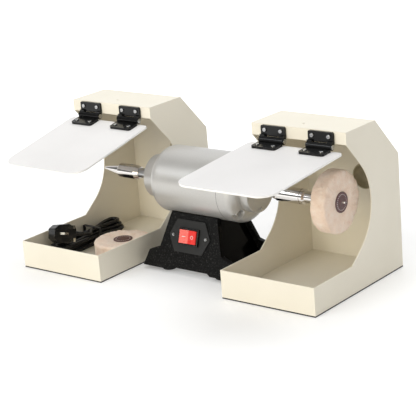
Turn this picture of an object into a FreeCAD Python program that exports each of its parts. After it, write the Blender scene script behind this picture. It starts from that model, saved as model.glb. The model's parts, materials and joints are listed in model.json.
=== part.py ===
import FreeCAD, Part
import math
import os

# Dental polishing lathe: a motor on a pedestal between two open sheet-metal hoods.
# Lengths are in millimetres. X runs along the spindle to the right, Y to the back, Z up.
# The shapes are built with X = 0 at the motor's middle, Y = 0 at the spindle and Z = 0 on the bench,
# and are moved along Y when they are written, so that the origin is at the bottom centre of the box.

V = FreeCAD.Vector
X_AXIS = V(1, 0, 0)
Y_AXIS = V(0, 1, 0)
Z_AXIS = V(0, 0, 1)

# Fits and clearances
running_gap = 0.05
air_gap = 0.5
seat_gap = 0.1
body_gap = 0.4

# Spindle
spindle_height = 144.1
shaft_d = 17.0
arbor_d = 25.0
arbor_start = 141.0
arbor_chamfer_length = 8.7
shaft_stub_d = 14.0
shaft_stub_length = 30.0
left_sleeve_end = 187.8
right_sleeve_end = 203.0
right_groove_x = 194.0
groove_width = 2.0
groove_depth = 1.0
right_shank_d = 19.0
right_shank_end = 236.0
taper_root_d = 18.0
taper_tip_d = 3.0
taper_length = 37.0
end_chamfer = 1.6
grub_d = 5.0
grub_length = 5.0

# Polishing wheels
wheel_d = 101.6
wheel_thickness = 28.0
wheel_dish = 2.0
wheel_rim_round = 5.0
wheel_dish_d = 46.0
wheel_left_face = 240.9
hub_disc_d = 33.0
hub_disc_thickness = 1.6
spare_wheel_from_inner_panel = 57.6
spare_wheel_from_front = 123.0

# Motor
casing_d = 112.2
casing_wall = 4.0
casing_left = -62.0
seam_x = 65.2
left_shoulder_end = -80.0
left_boss_d = 72.0
left_boss_face = -104.7
right_shoulder_start = 79.0
right_shoulder_end = 97.0
right_boss_d = 73.4
right_boss_face = 112.5
cover_thickness = 3.0
register_length = 6.0
bearing_od = 40.0
bearing_width = 12.0
bearing_x = 90.0
bearing_shoulder_bore = 30.0
bearing_ring = 3.4
ball_count = 8
washer_thickness = 1.0
cover_screw_circle = 62.0
cover_screw_count = 3
small_screw_d = 4.0
small_screw_head_d = 6.0
small_head_height = 1.5
through_bolt_circle = 93.0
through_bolt_count = 4
through_bolt_d = 5.0
through_bolt_head_d = 9.0
through_bolt_head_height = 4.0
bolt_seat_x = 85.0
scallop_d = 16.0
bolt_boss_d = 11.0
bolt_boss_length = 12.0
bolt_boss_root = 8.0
stator_length = 64.0
stator_bore = 62.0
slot_count = 12
slot_outer_d = 82.0
slot_width = 7.0
winding_overhang = 17.0
winding_outer_d = 79.0
winding_inner_d = 66.0
fan_x = 58.0
fan_hub_d = 30.0
fan_hub_length = 12.0
fan_outer_d = 74.0
fan_blade_count = 8
fan_blade_thickness = 2.0

# Pedestal
pedestal_top_below_spindle = 46.1
pedestal_top_half = 49.0
pedestal_waist_z = 40.0
pedestal_waist_half = 65.5
pedestal_toe_z = 32.0
pedestal_toe_half = 87.6
pedestal_tip_half = 97.0
pedestal_bottom = 7.0
pedestal_arch_z = 11.0
pedestal_arch_half = 40.0
pedestal_roof_thickness = 22.0
face_foot_y = 67.2
face_slope = 0.3148
pedestal_wall = 6.0
side_recess = 12.0
flange_height = 8.0
flange_recess = 3.0
corner_round = 3.0
bottom_plate_thickness = 1.5
bottom_plate_lap = 4.0
bottom_screw_inset = 4.5
bottom_screw_y = 38.0
bottom_screw_length = 9.5
foot_d = 26.0
foot_x = 56.0
foot_y = 44.0
mounting_screw_x = 22.0
mounting_screw_y = 14.0
mounting_screw_d = 6.0
mounting_head_d = 10.0
mounting_head_height = 4.0

# Switch on the sloped front face
plate_screw_length = 9.0
plate_head_height = 1.8
screw_slot_width = 0.8
screw_slot_floor = 1.0
switch_x = -2.5
switch_z = 63.0
plate_half_width = 42.5
plate_top_half = 29.0
plate_half_height = 27.0
plate_thickness = 2.0
plate_screw_half = 34.0
bezel_width = 41.0
bezel_height = 28.0
bezel_proud = 4.5
bezel_flange = 1.5
switch_body_width = 37.0
switch_body_height = 25.0
switch_body_depth = 24.0
rocker_width = 35.0
rocker_height = 22.0
rocker_middle_height = 5.6
rocker_tilt = 7.0
rocker_pivot_depth = 1.0
rocker_well_depth = 13.0

# Parts in the pedestal
capacitor_d = 30.0
capacitor_length = 60.0
capacitor_y = 4.0
capacitor_z = 32.0
clamp_width = 12.0
clamp_thickness = 1.5
terminal_length = 36.0
terminal_depth = 12.0
terminal_height = 14.0
terminal_x = 26.0
terminal_y = -22.0

# Hoods: the left one has the longer tray
hood_width = 177.0
hood_inner_x = 113.0
hood_height = 259.1
hood_sheet = 1.5
tray_height = 47.0
lip_height = 19.2
strip_thickness = 2.0
strip_width = 10.0
lip_to_slope = 81.2
lip_to_back = 144.2
slope_drop = 68.2
canopy_foot = 3.0
lip_to_arc = 28.5
arc_margin = 6.95
arc_drop = 5.05
lip_to_tray_corner = 0.7
right_lip_y = -12.1
left_lip_y = 5.4
right_tray_front_y = -117.2
left_tray_front_y = -153.0
port_from_left = 111.5
port_z = 145.0
port_bore = 40.0
port_wall = 1.5
port_length = 49.0
port_flange_d = 56.0
top_hole_from_left = 83.0
top_hole_from_lip = 25.0
top_hole_d = 4.0

# Hinges and shields
hinge_spacing = 89.2
leaf_width = 46.0
leaf_thickness = 4.0
leaf_below_top = 1.1
upper_leaf_height = 17.0
lower_leaf_reach = 27.0
leaf_hole_pitch = 30.5
leaf_hole_d = 4.6
hinge_screw_d = 4.0
hinge_screw_head_d = 7.0
hinge_screw_head_height = 2.0
barrel_d = 11.0
barrel_forward = 6.5
barrel_below_leaf = 5.0
knuckle_width = 9.0
hinge_pin_d = 5.0
pin_head_d = 8.0
pin_head_thickness = 1.2
leaf_corner = 3.0
shield_width = 176.0
shield_thickness = 3.0
shield_back = 9.0
right_shield_length = 194.0
left_shield_length = 180.0
right_shield_tilt = 4.5
left_shield_tilt = 12.0
shield_back_round = 7.0
shield_front_round = 26.0

# Mains lead, hank and plug
cord_d = 6.4
hank_pitch = 6.95
hank_fold_r = 9.5
hank_near_y = 50.0
hank_far_y = 217.0
hank_x = 24.5
hank_waist_y = 147.0
hank_waist_half = 4.0
hank_waist_step = 9.2
hank_lead_in = 4.0
tie_width = 6.0
tie_thickness = 1.0
plug_width = 34.0
plug_length = 44.0
plug_depth = 22.0
plug_yaw = 14.0
plug_pitch = -15.0
plug_roll = 78.0
plug_x = 30.4
plug_y = 66.0
plug_z = 43.9
pin_thickness = 4.0
earth_pin_width = 8.0
earth_pin_length = 22.5
earth_pin_v = -12.0
live_pin_width = 6.3
live_pin_length = 17.5
live_pin_u = 11.05
live_pin_v = 7.0
relief_length = 20.0
relief_d = 11.0
connector_width = 27.0
connector_height = 19.0
connector_length = 34.0
connector_nose_length = 16.0
connector_x = 141.0
lead_run = 15.5
inlet_x = -18.0
inlet_z = 48.0
inlet_flange_width = 34.0
inlet_flange_height = 28.0
inlet_flange_thickness = 2.0
inlet_body_width = 29.0
inlet_body_height = 21.0
inlet_body_depth = 24.0
inlet_socket_width = 25.0
inlet_socket_height = 17.0
inlet_socket_depth = 16.0
blade_width = 4.0
blade_thickness = 2.0

# Derived sizes
pedestal_top = spindle_height - pedestal_top_below_spindle
pedestal_roof_z = pedestal_top - pedestal_roof_thickness
lip_bottom_z = hood_height - lip_height
slope_bottom_z = hood_height - slope_drop
canopy_foot_z = slope_bottom_z - canopy_foot
arc_z = (tray_height + lip_bottom_z) / 2 - arc_drop
arc_r = (lip_bottom_z - tray_height) / 2 - arc_margin
upper_leaf_top_z = hood_height - leaf_below_top
upper_leaf_bottom_z = upper_leaf_top_z - upper_leaf_height
barrel_z = upper_leaf_bottom_z - barrel_below_leaf
left_hood_x = -hood_inner_x - hood_width
casing_r = casing_d / 2
bore_r = casing_r - casing_wall
shaft_r = shaft_d / 2
face_angle = math.degrees(math.atan(face_slope))
front_most = right_lip_y - shield_back - right_shield_length * math.cos(math.radians(right_shield_tilt))
rear_most = left_lip_y + lip_to_back + port_length
frame_shift = V(0, -(front_most + rear_most) / 2, 0)


def save(name, shapes):
    solids = []
    for shape in shapes:
        solids.extend(shape.Solids)
    whole = Part.makeCompound(solids) if len(solids) > 1 else solids[0]
    whole.translate(frame_shift)
    whole.exportStep("parts/" + name + ".step")


def box(x0, x1, y0, y1, z0, z1):
    return Part.makeBox(x1 - x0, y1 - y0, z1 - z0, V(x0, y0, z0))


def tube(outer_r, inner_r, length, start, axis):
    outer = Part.makeCylinder(outer_r, length, start, axis)
    return outer.cut(Part.makeCylinder(inner_r, length, start, axis))


def spun(points, rounds=()):
    # A solid turned about the spindle from an (x, radius) outline; rounds names arcs by their start.
    corners = [V(x, 0, spindle_height + r) for x, r in points]
    edges = []
    for i, start in enumerate(corners):
        end = corners[(i + 1) % len(corners)]
        middle = dict(rounds).get(i)
        if middle:
            edges.append(Part.Arc(start, V(middle[0], 0, spindle_height + middle[1]), end).toShape())
        else:
            edges.append(Part.LineSegment(start, end).toShape())
    face = Part.Face(Part.Wire(edges))
    return face.revolve(V(0, 0, spindle_height), X_AXIS, 360)


def around_spindle(shape, count, first_angle=0.0):
    copies = []
    for i in range(count):
        copy = shape.copy()
        copy.rotate(V(0, 0, spindle_height), X_AXIS, first_angle + 360.0 / count * i)
        copies.append(copy)
    return copies


def plate(points, thickness, direction):
    wire = Part.makePolygon(points + [points[0]])
    return Part.Face(wire).extrude(direction * thickness)


def fuse_all(shapes):
    whole = shapes[0].multiFuse(shapes[1:]) if len(shapes) > 1 else shapes[0]
    return whole.removeSplitter()


def shoulder_middle(x0, r0, x1, r1, bulge=0.7071):
    # Middle of a quarter round that starts along the spindle and ends across it.
    return (x0 + (x1 - x0) * bulge, r1 + (r0 - r1) * bulge)


# Motor


def make_casing():
    end_x = left_boss_face + cover_thickness
    boss_r = left_boss_d / 2
    inner_end = left_shoulder_end + 10.0
    seat_end = -bearing_x + bearing_width / 2
    outline = [
        (seam_x, bore_r), (seam_x, casing_r), (casing_left, casing_r), (left_shoulder_end, boss_r + 3.0),
        (left_shoulder_end, boss_r), (end_x, boss_r), (end_x, bearing_od / 2), (seat_end, bearing_od / 2),
        (seat_end, bearing_shoulder_bore / 2), (inner_end, bearing_shoulder_bore / 2), (inner_end, boss_r - 4.0),
        (casing_left, bore_r),
    ]
    outer_round = shoulder_middle(casing_left, casing_r, left_shoulder_end, boss_r + 3.0)
    inner_round = shoulder_middle(casing_left, bore_r, inner_end, boss_r - 4.0)
    casing = spun(outline, [(2, outer_round), (10, inner_round)])
    bolt_z = spindle_height + through_bolt_circle / 2
    pad_start = casing_left - bolt_boss_root
    pad = Part.makeCylinder(bolt_boss_d / 2, bolt_boss_root + bolt_boss_length, V(pad_start, 0, bolt_z), X_AXIS)
    hole = Part.makeCylinder(through_bolt_d / 2, bolt_boss_length + 1, V(casing_left, 0, bolt_z), X_AXIS)
    casing = fuse_all([casing] + around_spindle(pad, through_bolt_count, 45.0))
    casing = casing.cut(Part.makeCompound(around_spindle(hole, through_bolt_count, 45.0)))
    casing = casing.cut(Part.makeCompound(cover_screw_holes(end_x, 1)))
    return casing.cut(Part.makeCompound(mounting_holes()))


def make_end_bell():
    end_x = right_boss_face - cover_thickness
    boss_r = right_boss_d / 2
    seat_end = bearing_x - bearing_width / 2
    register_x = seam_x - register_length
    inner_end = right_shoulder_end - 9.0
    register_r = bore_r - seat_gap
    outline = [
        (register_x, register_r), (seam_x, register_r), (seam_x, casing_r), (right_shoulder_start, casing_r),
        (right_shoulder_end, boss_r + 4.0), (right_shoulder_end, boss_r), (end_x, boss_r),
        (end_x, bearing_od / 2), (seat_end, bearing_od / 2), (seat_end, bearing_shoulder_bore / 2),
        (seat_end - 3.0, bearing_shoulder_bore / 2), (seat_end - 3.0, boss_r - 4.0),
        (register_x, register_r - casing_wall),
    ]
    outer_round = shoulder_middle(right_shoulder_start, casing_r, right_shoulder_end, boss_r + 4.0)
    bell = spun(outline, [(3, outer_round)])
    bolt_z = spindle_height + through_bolt_circle / 2
    pad = Part.makeCylinder(bolt_boss_d / 2, bolt_seat_x - register_x, V(register_x, 0, bolt_z), X_AXIS)
    envelope = spun([(register_x, 0), (register_x, register_r), (seam_x, register_r), (seam_x, casing_r),
                     (right_shoulder_start, casing_r), (right_shoulder_end, boss_r), (right_shoulder_end, 0)])
    pads = [p.common(envelope) for p in around_spindle(pad, through_bolt_count, 45.0)]
    scallop = Part.makeCylinder(scallop_d / 2, inner_end, V(bolt_seat_x, 0, bolt_z), X_AXIS)
    scallop = scallop.fuse(box(bolt_seat_x, bolt_seat_x + inner_end, -scallop_d / 2, scallop_d / 2,
                               bolt_z, bolt_z + casing_r))
    hole = Part.makeCylinder(through_bolt_d / 2, casing_d, V(register_x, 0, bolt_z), X_AXIS)
    bell = fuse_all([bell] + pads)
    bell = bell.cut(Part.makeCompound(around_spindle(scallop, through_bolt_count, 45.0)))
    bell = bell.cut(Part.makeCompound(around_spindle(hole, through_bolt_count, 45.0)))
    return bell.cut(Part.makeCompound(cover_screw_holes(end_x, -1)))


def cover_screw_holes(face_x, inward):
    depth = 8.0
    start = face_x if inward > 0 else face_x - depth
    hole = Part.makeCylinder(small_screw_d / 2, depth, V(start, 0, spindle_height - cover_screw_circle / 2), X_AXIS)
    return around_spindle(hole, cover_screw_count)


def make_cover(face_x, outward, boss_d):
    # A flat end cover whose rim reaches in to hold the bearing.
    x0 = face_x - outward * cover_thickness
    rim_end = outward * (bearing_x + bearing_width / 2 + washer_thickness + seat_gap)
    shaft_hole = shaft_r + body_gap
    outline = [
        (face_x, shaft_hole), (face_x, boss_d / 2 - 1.0), (face_x - outward, boss_d / 2), (x0, boss_d / 2),
        (x0, bearing_od / 2 - seat_gap), (rim_end, bearing_od / 2 - seat_gap), (rim_end, bearing_od / 2 - 4.0),
        (x0, bearing_od / 2 - 4.0), (x0, shaft_hole),
    ]
    cover = spun(outline)
    depth = cover_thickness + 2
    hole = Part.makeCylinder(small_screw_d / 2, depth, V(min(face_x, x0) - 1, 0, 0), X_AXIS)
    hole.translate(V(0, 0, spindle_height - cover_screw_circle / 2))
    return cover.cut(Part.makeCompound(around_spindle(hole, cover_screw_count)))


def make_cover_screws(face_x, outward):
    r = small_screw_d / 2 - running_gap
    z = spindle_height - cover_screw_circle / 2
    length = cover_thickness + 6.0
    start = face_x if outward < 0 else face_x - length
    shank = Part.makeCylinder(r, length, V(start, 0, z), X_AXIS)
    head = Part.makeCylinder(small_screw_head_d / 2, 1.6, V(face_x, 0, z), X_AXIS * outward)
    driver = Part.makeCylinder(1.2, 1.0, V(face_x + outward * 0.8, 0, z), X_AXIS * outward)
    return around_spindle(shank.fuse(head).cut(driver), cover_screw_count)


def make_through_bolts():
    z = spindle_height + through_bolt_circle / 2
    length = bolt_seat_x - casing_left - 1.0
    shank = Part.makeCylinder(through_bolt_d / 2 - running_gap, length, V(bolt_seat_x - length, 0, z), X_AXIS)
    head = Part.makeCylinder(through_bolt_head_d / 2, through_bolt_head_height, V(bolt_seat_x, 0, z), X_AXIS)
    head = head.makeFillet(1.0, [head.Edges[0]])
    slot_x = bolt_seat_x + through_bolt_head_height - 1.2
    slot = box(slot_x, slot_x + 2, -0.6, 0.6, z - through_bolt_head_d, z + through_bolt_head_d)
    return around_spindle(shank.fuse(head).cut(slot), through_bolt_count, 45.0)


def make_stator_core():
    half = stator_length / 2
    core = tube(bore_r - seat_gap, stator_bore / 2, stator_length, V(-half, 0, spindle_height), X_AXIS)
    slot = box(-half - 1, half + 1, -slot_width / 2, slot_width / 2, spindle_height, spindle_height + slot_outer_d / 2)
    hole_z = spindle_height + through_bolt_circle / 2
    hole = Part.makeCylinder(through_bolt_d / 2 + seat_gap, stator_length + 2, V(-half - 1, 0, hole_z), X_AXIS)
    cuts = around_spindle(slot, slot_count) + around_spindle(hole, through_bolt_count, 45.0)
    return core.cut(Part.makeCompound(cuts))


def make_windings():
    half = stator_length / 2
    bar_half = slot_width / 2 - seat_gap
    inner = winding_inner_d / 2
    outer = winding_outer_d / 2
    bar = box(-half - 1, half + 1, -bar_half, bar_half, spindle_height + inner, spindle_height + outer)
    rings = []
    for side in (-1, 1):
        x0 = side * (half + seat_gap)
        x1 = side * (half + winding_overhang)
        outline = [(x0, inner), (x0, outer), (x1 - side * 5, outer), (x1, outer - 4), (x1, inner + 3), (x1 - side * 4, inner)]
        rings.append(spun(outline))
    return fuse_all(rings + around_spindle(bar, slot_count))


def make_bearing(middle):
    z = spindle_height
    start = V(middle - bearing_width / 2, 0, z)
    outer = tube(bearing_od / 2 - seat_gap / 2, bearing_od / 2 - bearing_ring, bearing_width, start, X_AXIS)
    inner = tube(shaft_r + bearing_ring, shaft_r, bearing_width, start, X_AXIS)
    pitch_r = (bearing_od / 2 + shaft_r) / 2
    ball_r = (bearing_od / 2 - shaft_r) / 2 - bearing_ring + 0.9
    groove = Part.makeTorus(pitch_r, ball_r + running_gap, V(middle, 0, z), X_AXIS)
    ball = Part.makeSphere(ball_r, V(middle, 0, z + pitch_r))
    return outer.cut(groove), inner.cut(groove), around_spindle(ball, ball_count)


def make_wave_washer():
    start = V(bearing_x + bearing_width / 2 + seat_gap / 2, 0, spindle_height)
    return tube(bearing_od / 2 - seat_gap, bearing_od / 2 - 4.0, washer_thickness, start, X_AXIS)


def make_rotor_core():
    start = V(-stator_length / 2, 0, spindle_height)
    return tube(stator_bore / 2 - air_gap, shaft_r, stator_length, start, X_AXIS)


def make_shaft():
    stub_r = shaft_stub_d / 2
    left = -arbor_start
    right = arbor_start
    return spun([
        (left - shaft_stub_length, 0), (left - shaft_stub_length, stub_r), (left, stub_r), (left, shaft_r),
        (right, shaft_r), (right, stub_r), (right + shaft_stub_length, stub_r), (right + shaft_stub_length, 0),
    ])


def make_fan():
    start = V(fan_x - fan_hub_length / 2, 0, spindle_height)
    hub = tube(fan_hub_d / 2, shaft_r, fan_hub_length, start, X_AXIS)
    half = fan_blade_thickness / 2
    blade = box(fan_x - fan_hub_length / 2, fan_x + fan_hub_length / 2, -half, half,
                spindle_height + fan_hub_d / 2 - 1, spindle_height + fan_outer_d / 2)
    blade.rotate(V(fan_x, 0, spindle_height), Z_AXIS, 25)
    return fuse_all([hub] + around_spindle(blade, fan_blade_count))


def grub_places():
    return [-(arbor_start + arbor_chamfer_length + 10.0), arbor_start + arbor_chamfer_length + 10.0]


def make_left_arbor():
    bore = shaft_stub_d / 2
    r = arbor_d / 2
    x0 = -arbor_start
    x1 = x0 - arbor_chamfer_length
    x2 = -left_sleeve_end
    arbor = spun([
        (x0, bore), (x0, shaft_r + 1.0), (x1, r), (x2 + end_chamfer * 2, r), (x2, r - end_chamfer * 1.5),
        (x2, taper_root_d / 2), (x2 - taper_length, taper_tip_d / 2), (x2 - taper_length, 0),
        (x0 - shaft_stub_length - 1, 0), (x0 - shaft_stub_length - 1, bore),
    ])
    return arbor.cut(grub_hole(grub_places()[0]))


def make_right_arbor():
    bore = shaft_stub_d / 2
    r = arbor_d / 2
    x0 = arbor_start
    arbor = spun([
        (x0, bore), (x0, shaft_r + 1.0), (x0 + arbor_chamfer_length, r), (right_groove_x, r),
        (right_groove_x, r - groove_depth), (right_groove_x + groove_width, r - groove_depth),
        (right_groove_x + groove_width, r), (right_sleeve_end - 3.0, r), (right_sleeve_end, right_shank_d / 2),
        (right_shank_end, right_shank_d / 2), (right_shank_end, taper_root_d / 2),
        (right_shank_end + taper_length, taper_tip_d / 2), (right_shank_end + taper_length, 0),
        (x0 + shaft_stub_length + 1, 0), (x0 + shaft_stub_length + 1, bore),
    ])
    return arbor.cut(grub_hole(grub_places()[1]))


def grub_hole(x):
    return Part.makeCylinder(grub_d / 2, arbor_d, V(x, 0, spindle_height), V(0, 0, 1))


def make_grub(x):
    top = spindle_height + arbor_d / 2 - 0.4
    grub = Part.makeCylinder(grub_d / 2 - running_gap, top - spindle_height - shaft_stub_d / 2 - running_gap,
                             V(x, 0, spindle_height + shaft_stub_d / 2 + running_gap), Z_AXIS)
    return grub.cut(Part.makeCylinder(1.2, 2.5, V(x, 0, top - 2.4), Z_AXIS))


# Wheels, built with their axis along X and their left face at X = 0


def taper_r(x):
    along = (x - right_shank_end) / taper_length
    return (taper_root_d + (taper_tip_d - taper_root_d) * along) / 2


def make_wheel_shape():
    left = wheel_left_face
    right = wheel_left_face + wheel_thickness
    r = wheel_d / 2
    rim = wheel_rim_round
    dish_r = wheel_dish_d / 2
    middle = rim * (1 - math.cos(math.radians(45)))
    outline = [
        (left + wheel_dish, taper_r(left + wheel_dish) + running_gap), (left + wheel_dish, dish_r - 4),
        (left, dish_r + 6), (left, r - rim), (left + rim, r), (right - rim, r), (right, r - rim),
        (right, dish_r + 6), (right - wheel_dish, dish_r - 4),
        (right - wheel_dish, taper_r(right - wheel_dish) + running_gap),
    ]
    return spun(outline, [(3, (left + middle, r - middle)), (5, (right - middle, r - middle))])


def make_hub_discs():
    left = wheel_left_face + wheel_dish - hub_disc_thickness
    right = wheel_left_face + wheel_thickness - wheel_dish
    discs = []
    for x in (left, right):
        x1 = x + hub_disc_thickness
        discs.append(spun([(x, taper_r(x) + running_gap), (x, hub_disc_d / 2), (x1, hub_disc_d / 2),
                           (x1, taper_r(x1) + running_gap)]))
    return discs


def lay_down(shape):
    # Turns a wheel so that it lies flat in the left tray.
    laid = shape.copy()
    laid.translate(V(-wheel_left_face, 0, -spindle_height))
    laid.rotate(V(0, 0, 0), Y_AXIS, -90)
    x = hood_width - spare_wheel_from_inner_panel
    laid.translate(tray_point(x, spare_wheel_from_front, strip_thickness + hood_sheet))
    return laid


# Pedestal


def face_y(z):
    return -(face_foot_y - face_slope * z)


def pedestal_outline():
    right = [
        (pedestal_top_half, pedestal_top), (pedestal_waist_half, pedestal_waist_z),
        (pedestal_toe_half, pedestal_toe_z), (pedestal_tip_half, pedestal_bottom),
        (pedestal_arch_half + 6, pedestal_bottom), (pedestal_arch_half, pedestal_arch_z),
    ]
    return right + [(-x, z) for x, z in reversed(right)]


def sloped_sides(inset, top, bottom):
    # The space between the front and back faces, drawn in by inset.
    profile = [
        V(0, face_y(bottom) + inset, bottom), V(0, -face_y(bottom) - inset, bottom),
        V(0, -face_y(top) - inset, top), V(0, face_y(top) + inset, top),
    ]
    span = 2 * pedestal_tip_half + 2
    body = plate(profile, span, X_AXIS)
    body.translate(V(-span / 2, 0, 0))
    return body


def front_view(points, depth):
    body = plate([V(x, 0, z) for x, z in points], depth, Y_AXIS)
    body.translate(V(0, -depth / 2, 0))
    return body


def make_pedestal():
    depth = 2 * face_foot_y + 2
    outer = front_view(pedestal_outline(), depth).common(sloped_sides(0, pedestal_top, 0))
    upright = [e for e in outer.Edges if abs(e.BoundBox.ZLength) > 15]
    outer = outer.makeFillet(corner_round, upright)
    # The side walls lie behind the edges of the front and back faces.
    recess_points = [
        (pedestal_top_half - side_recess, pedestal_top + 1), (pedestal_waist_half - side_recess, pedestal_waist_z),
        (pedestal_waist_half - side_recess / 2, pedestal_bottom + flange_height),
        (pedestal_tip_half + 5, pedestal_bottom + flange_height), (pedestal_tip_half + 5, pedestal_top + 1),
    ]
    rib = pedestal_wall + 2.0
    for side in (-1, 1):
        points = [(side * x, z) for x, z in recess_points]
        pocket = front_view(points, depth).common(sloped_sides(rib, pedestal_top + 2, 0))
        outer = outer.cut(pocket)
    # The body is hollow from below, and the bottom plate closes it.
    inner_half_top = pedestal_top_half - side_recess - pedestal_wall
    inner_half_low = pedestal_waist_half - side_recess - pedestal_wall
    roof = pedestal_roof_z
    hollow_points = [(-inner_half_low, 0), (inner_half_low, 0), (inner_half_low, pedestal_waist_z),
                     (inner_half_top, roof), (-inner_half_top, roof), (-inner_half_low, pedestal_waist_z)]
    hollow = front_view(hollow_points, depth).common(sloped_sides(pedestal_wall, pedestal_top, 0))
    body = outer.cut(hollow)
    body = body.cut(bottom_plate_block(seat_gap))
    saddle = Part.makeCylinder(casing_r + seat_gap, casing_d * 2, V(-casing_d, 0, spindle_height), X_AXIS)
    body = body.cut(saddle)
    body = body.cut(Part.makeCompound(mounting_holes()))
    body = body.cut(switch_opening())
    body = body.cut(Part.makeCompound(plate_screw_cores()))
    body = body.cut(on_back(wall_opening(inlet_body_width, inlet_body_height, inlet_body_depth)))
    return body.cut(Part.makeCompound(bottom_screw_cores(small_screw_d / 2)))


def mounting_holes():
    holes = []
    for x in (-mounting_screw_x, mounting_screw_x):
        for y in (-mounting_screw_y, mounting_screw_y):
            low = pedestal_roof_z - mounting_screw_d
            high = spindle_height - bore_r + mounting_screw_d
            holes.append(Part.makeCylinder(mounting_screw_d / 2, high - low, V(x, y, low), Z_AXIS))
    return holes


def make_mounting_screws():
    screws = []
    roof = pedestal_roof_z
    reach = spindle_height - math.sqrt(bore_r ** 2 - mounting_screw_y ** 2) - roof
    for x in (-mounting_screw_x, mounting_screw_x):
        for y in (-mounting_screw_y, mounting_screw_y):
            shank = Part.makeCylinder(mounting_screw_d / 2 - running_gap, reach - 1.0, V(x, y, roof), Z_AXIS)
            head = Part.makeCylinder(mounting_head_d / 2, mounting_head_height, V(x, y, roof), -Z_AXIS)
            screws.append(shank.fuse(head))
    return screws


def bottom_plate_half():
    return pedestal_waist_half - side_recess - pedestal_wall + bottom_plate_lap


def bottom_plate_block(gap):
    half = bottom_plate_half() + gap
    depth = -face_y(pedestal_arch_z) - pedestal_wall + bottom_plate_lap + gap
    top = pedestal_arch_z + bottom_plate_thickness + gap
    return box(-half, half, -depth, depth, 0 if gap else pedestal_arch_z, top)


def bottom_screw_cores(radius):
    # Four screws near the corners of the bottom plate.
    cores = []
    for x in (-1, 1):
        for y in (-1, 1):
            place = V(x * (bottom_plate_half() - bottom_screw_inset), y * bottom_screw_y, pedestal_arch_z)
            cores.append(Part.makeCylinder(radius, bottom_screw_length, place, Z_AXIS))
    return cores


def make_bottom_plate():
    block = bottom_plate_block(0)
    return block.cut(Part.makeCompound(bottom_screw_cores(small_screw_d / 2)))


def make_bottom_screws():
    screws = []
    for core in bottom_screw_cores(small_screw_d / 2 - running_gap):
        centre = core.BoundBox.Center
        foot = V(centre.x, centre.y, pedestal_arch_z)
        head = Part.makeCylinder(small_screw_head_d / 2, small_head_height, foot, -Z_AXIS)
        screws.append(core.fuse(head))
    return screws


def make_feet():
    feet = []
    for x in (-foot_x, foot_x):
        for y in (-foot_y, foot_y):
            cone = Part.makeCone(foot_d / 2 - 2, foot_d / 2, pedestal_bottom, V(x, y, 0), Z_AXIS)
            feet.append(cone)
    return feet


# Switch, built flat and then laid on the sloped face: U to the right, V up the slope, W outwards


def on_slope(shape, x, z):
    placed = shape.copy()
    placed.rotate(V(0, 0, 0), X_AXIS, 90)
    placed.rotate(V(0, 0, 0), X_AXIS, -face_angle)
    placed.translate(V(x, face_y(z), z))
    return placed


def on_face(shape):
    return on_slope(shape, switch_x, switch_z)


def on_back(shape):
    placed = on_slope(shape, -inlet_x, inlet_z)
    placed.rotate(V(0, 0, 0), Z_AXIS, 180)
    return placed


def centred_box(width, height, low, high):
    return box(-width / 2, width / 2, -height / 2, height / 2, low, high)


def wall_opening(width, height, depth):
    # Room for a body of this size through a wall whose outer face is at 0.
    return centred_box(width + 2 * seat_gap, height + 2 * seat_gap, -depth - seat_gap, depth)


def switch_opening():
    return on_face(wall_opening(switch_body_width, switch_body_height, switch_body_depth))


def plate_screw_cores():
    low = plate_thickness - plate_screw_length - small_head_height
    cores = [Part.makeCylinder(small_screw_d / 2, plate_thickness - low, V(u, 0, low), Z_AXIS)
             for u in (-plate_screw_half, plate_screw_half)]
    return [on_face(c) for c in cores]


def make_switch_plate():
    w = plate_half_width
    h = plate_half_height
    points = [V(-plate_top_half, h, 0), V(-w, 0, 0), V(-plate_top_half, -h, 0),
              V(plate_top_half, -h, 0), V(w, 0, 0), V(plate_top_half, h, 0)]
    blank = plate(points, plate_thickness, Z_AXIS)
    upright = [e for e in blank.Edges if e.BoundBox.ZLength > plate_thickness / 2]
    blank = blank.makeFillet(corner_round, upright)
    blank = on_face(blank).cut(switch_opening())
    return blank.cut(Part.makeCompound(plate_screw_cores()))


def make_plate_screws():
    screws = []
    for u in (-plate_screw_half, plate_screw_half):
        low = plate_thickness - plate_screw_length
        shank = Part.makeCylinder(small_screw_d / 2 - running_gap, plate_screw_length, V(u, 0, low), Z_AXIS)
        r = small_screw_head_d / 2
        crown = box(u - r, u + r, -r, r, plate_thickness, plate_thickness + plate_head_height)
        head = Part.makeSphere(r, V(u, 0, plate_thickness)).common(crown)
        half_slot = screw_slot_width / 2
        slot = box(u - r, u + r, -half_slot, half_slot, plate_thickness + screw_slot_floor, plate_thickness + r)
        screws.append(on_face(shank.fuse(head).cut(slot)))
    return screws


def make_switch_housing():
    top = plate_thickness + bezel_proud
    frame = centred_box(bezel_width, bezel_height, plate_thickness, top)
    frame = frame.makeFillet(1.2, frame.Edges)
    frame = frame.fuse(centred_box(bezel_width, bezel_height, plate_thickness, plate_thickness + bezel_flange))
    body = centred_box(switch_body_width, switch_body_height, plate_thickness - switch_body_depth,
                       plate_thickness + 1)
    well = centred_box(rocker_width + 2 * body_gap, rocker_height + 2 * body_gap, top - rocker_well_depth, top + 2)
    housing = frame.fuse(body).cut(well)
    blades = []
    for u in (-10.0, 0.0, 10.0):
        low = plate_thickness - switch_body_depth
        blades.append(box(u - 2.4, u + 2.4, -0.4, 0.4, low - 8.0, low + 1))
    return on_face(fuse_all([housing] + blades))


def rocker_pivot():
    return plate_thickness + bezel_proud - rocker_pivot_depth - 4.0


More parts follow.
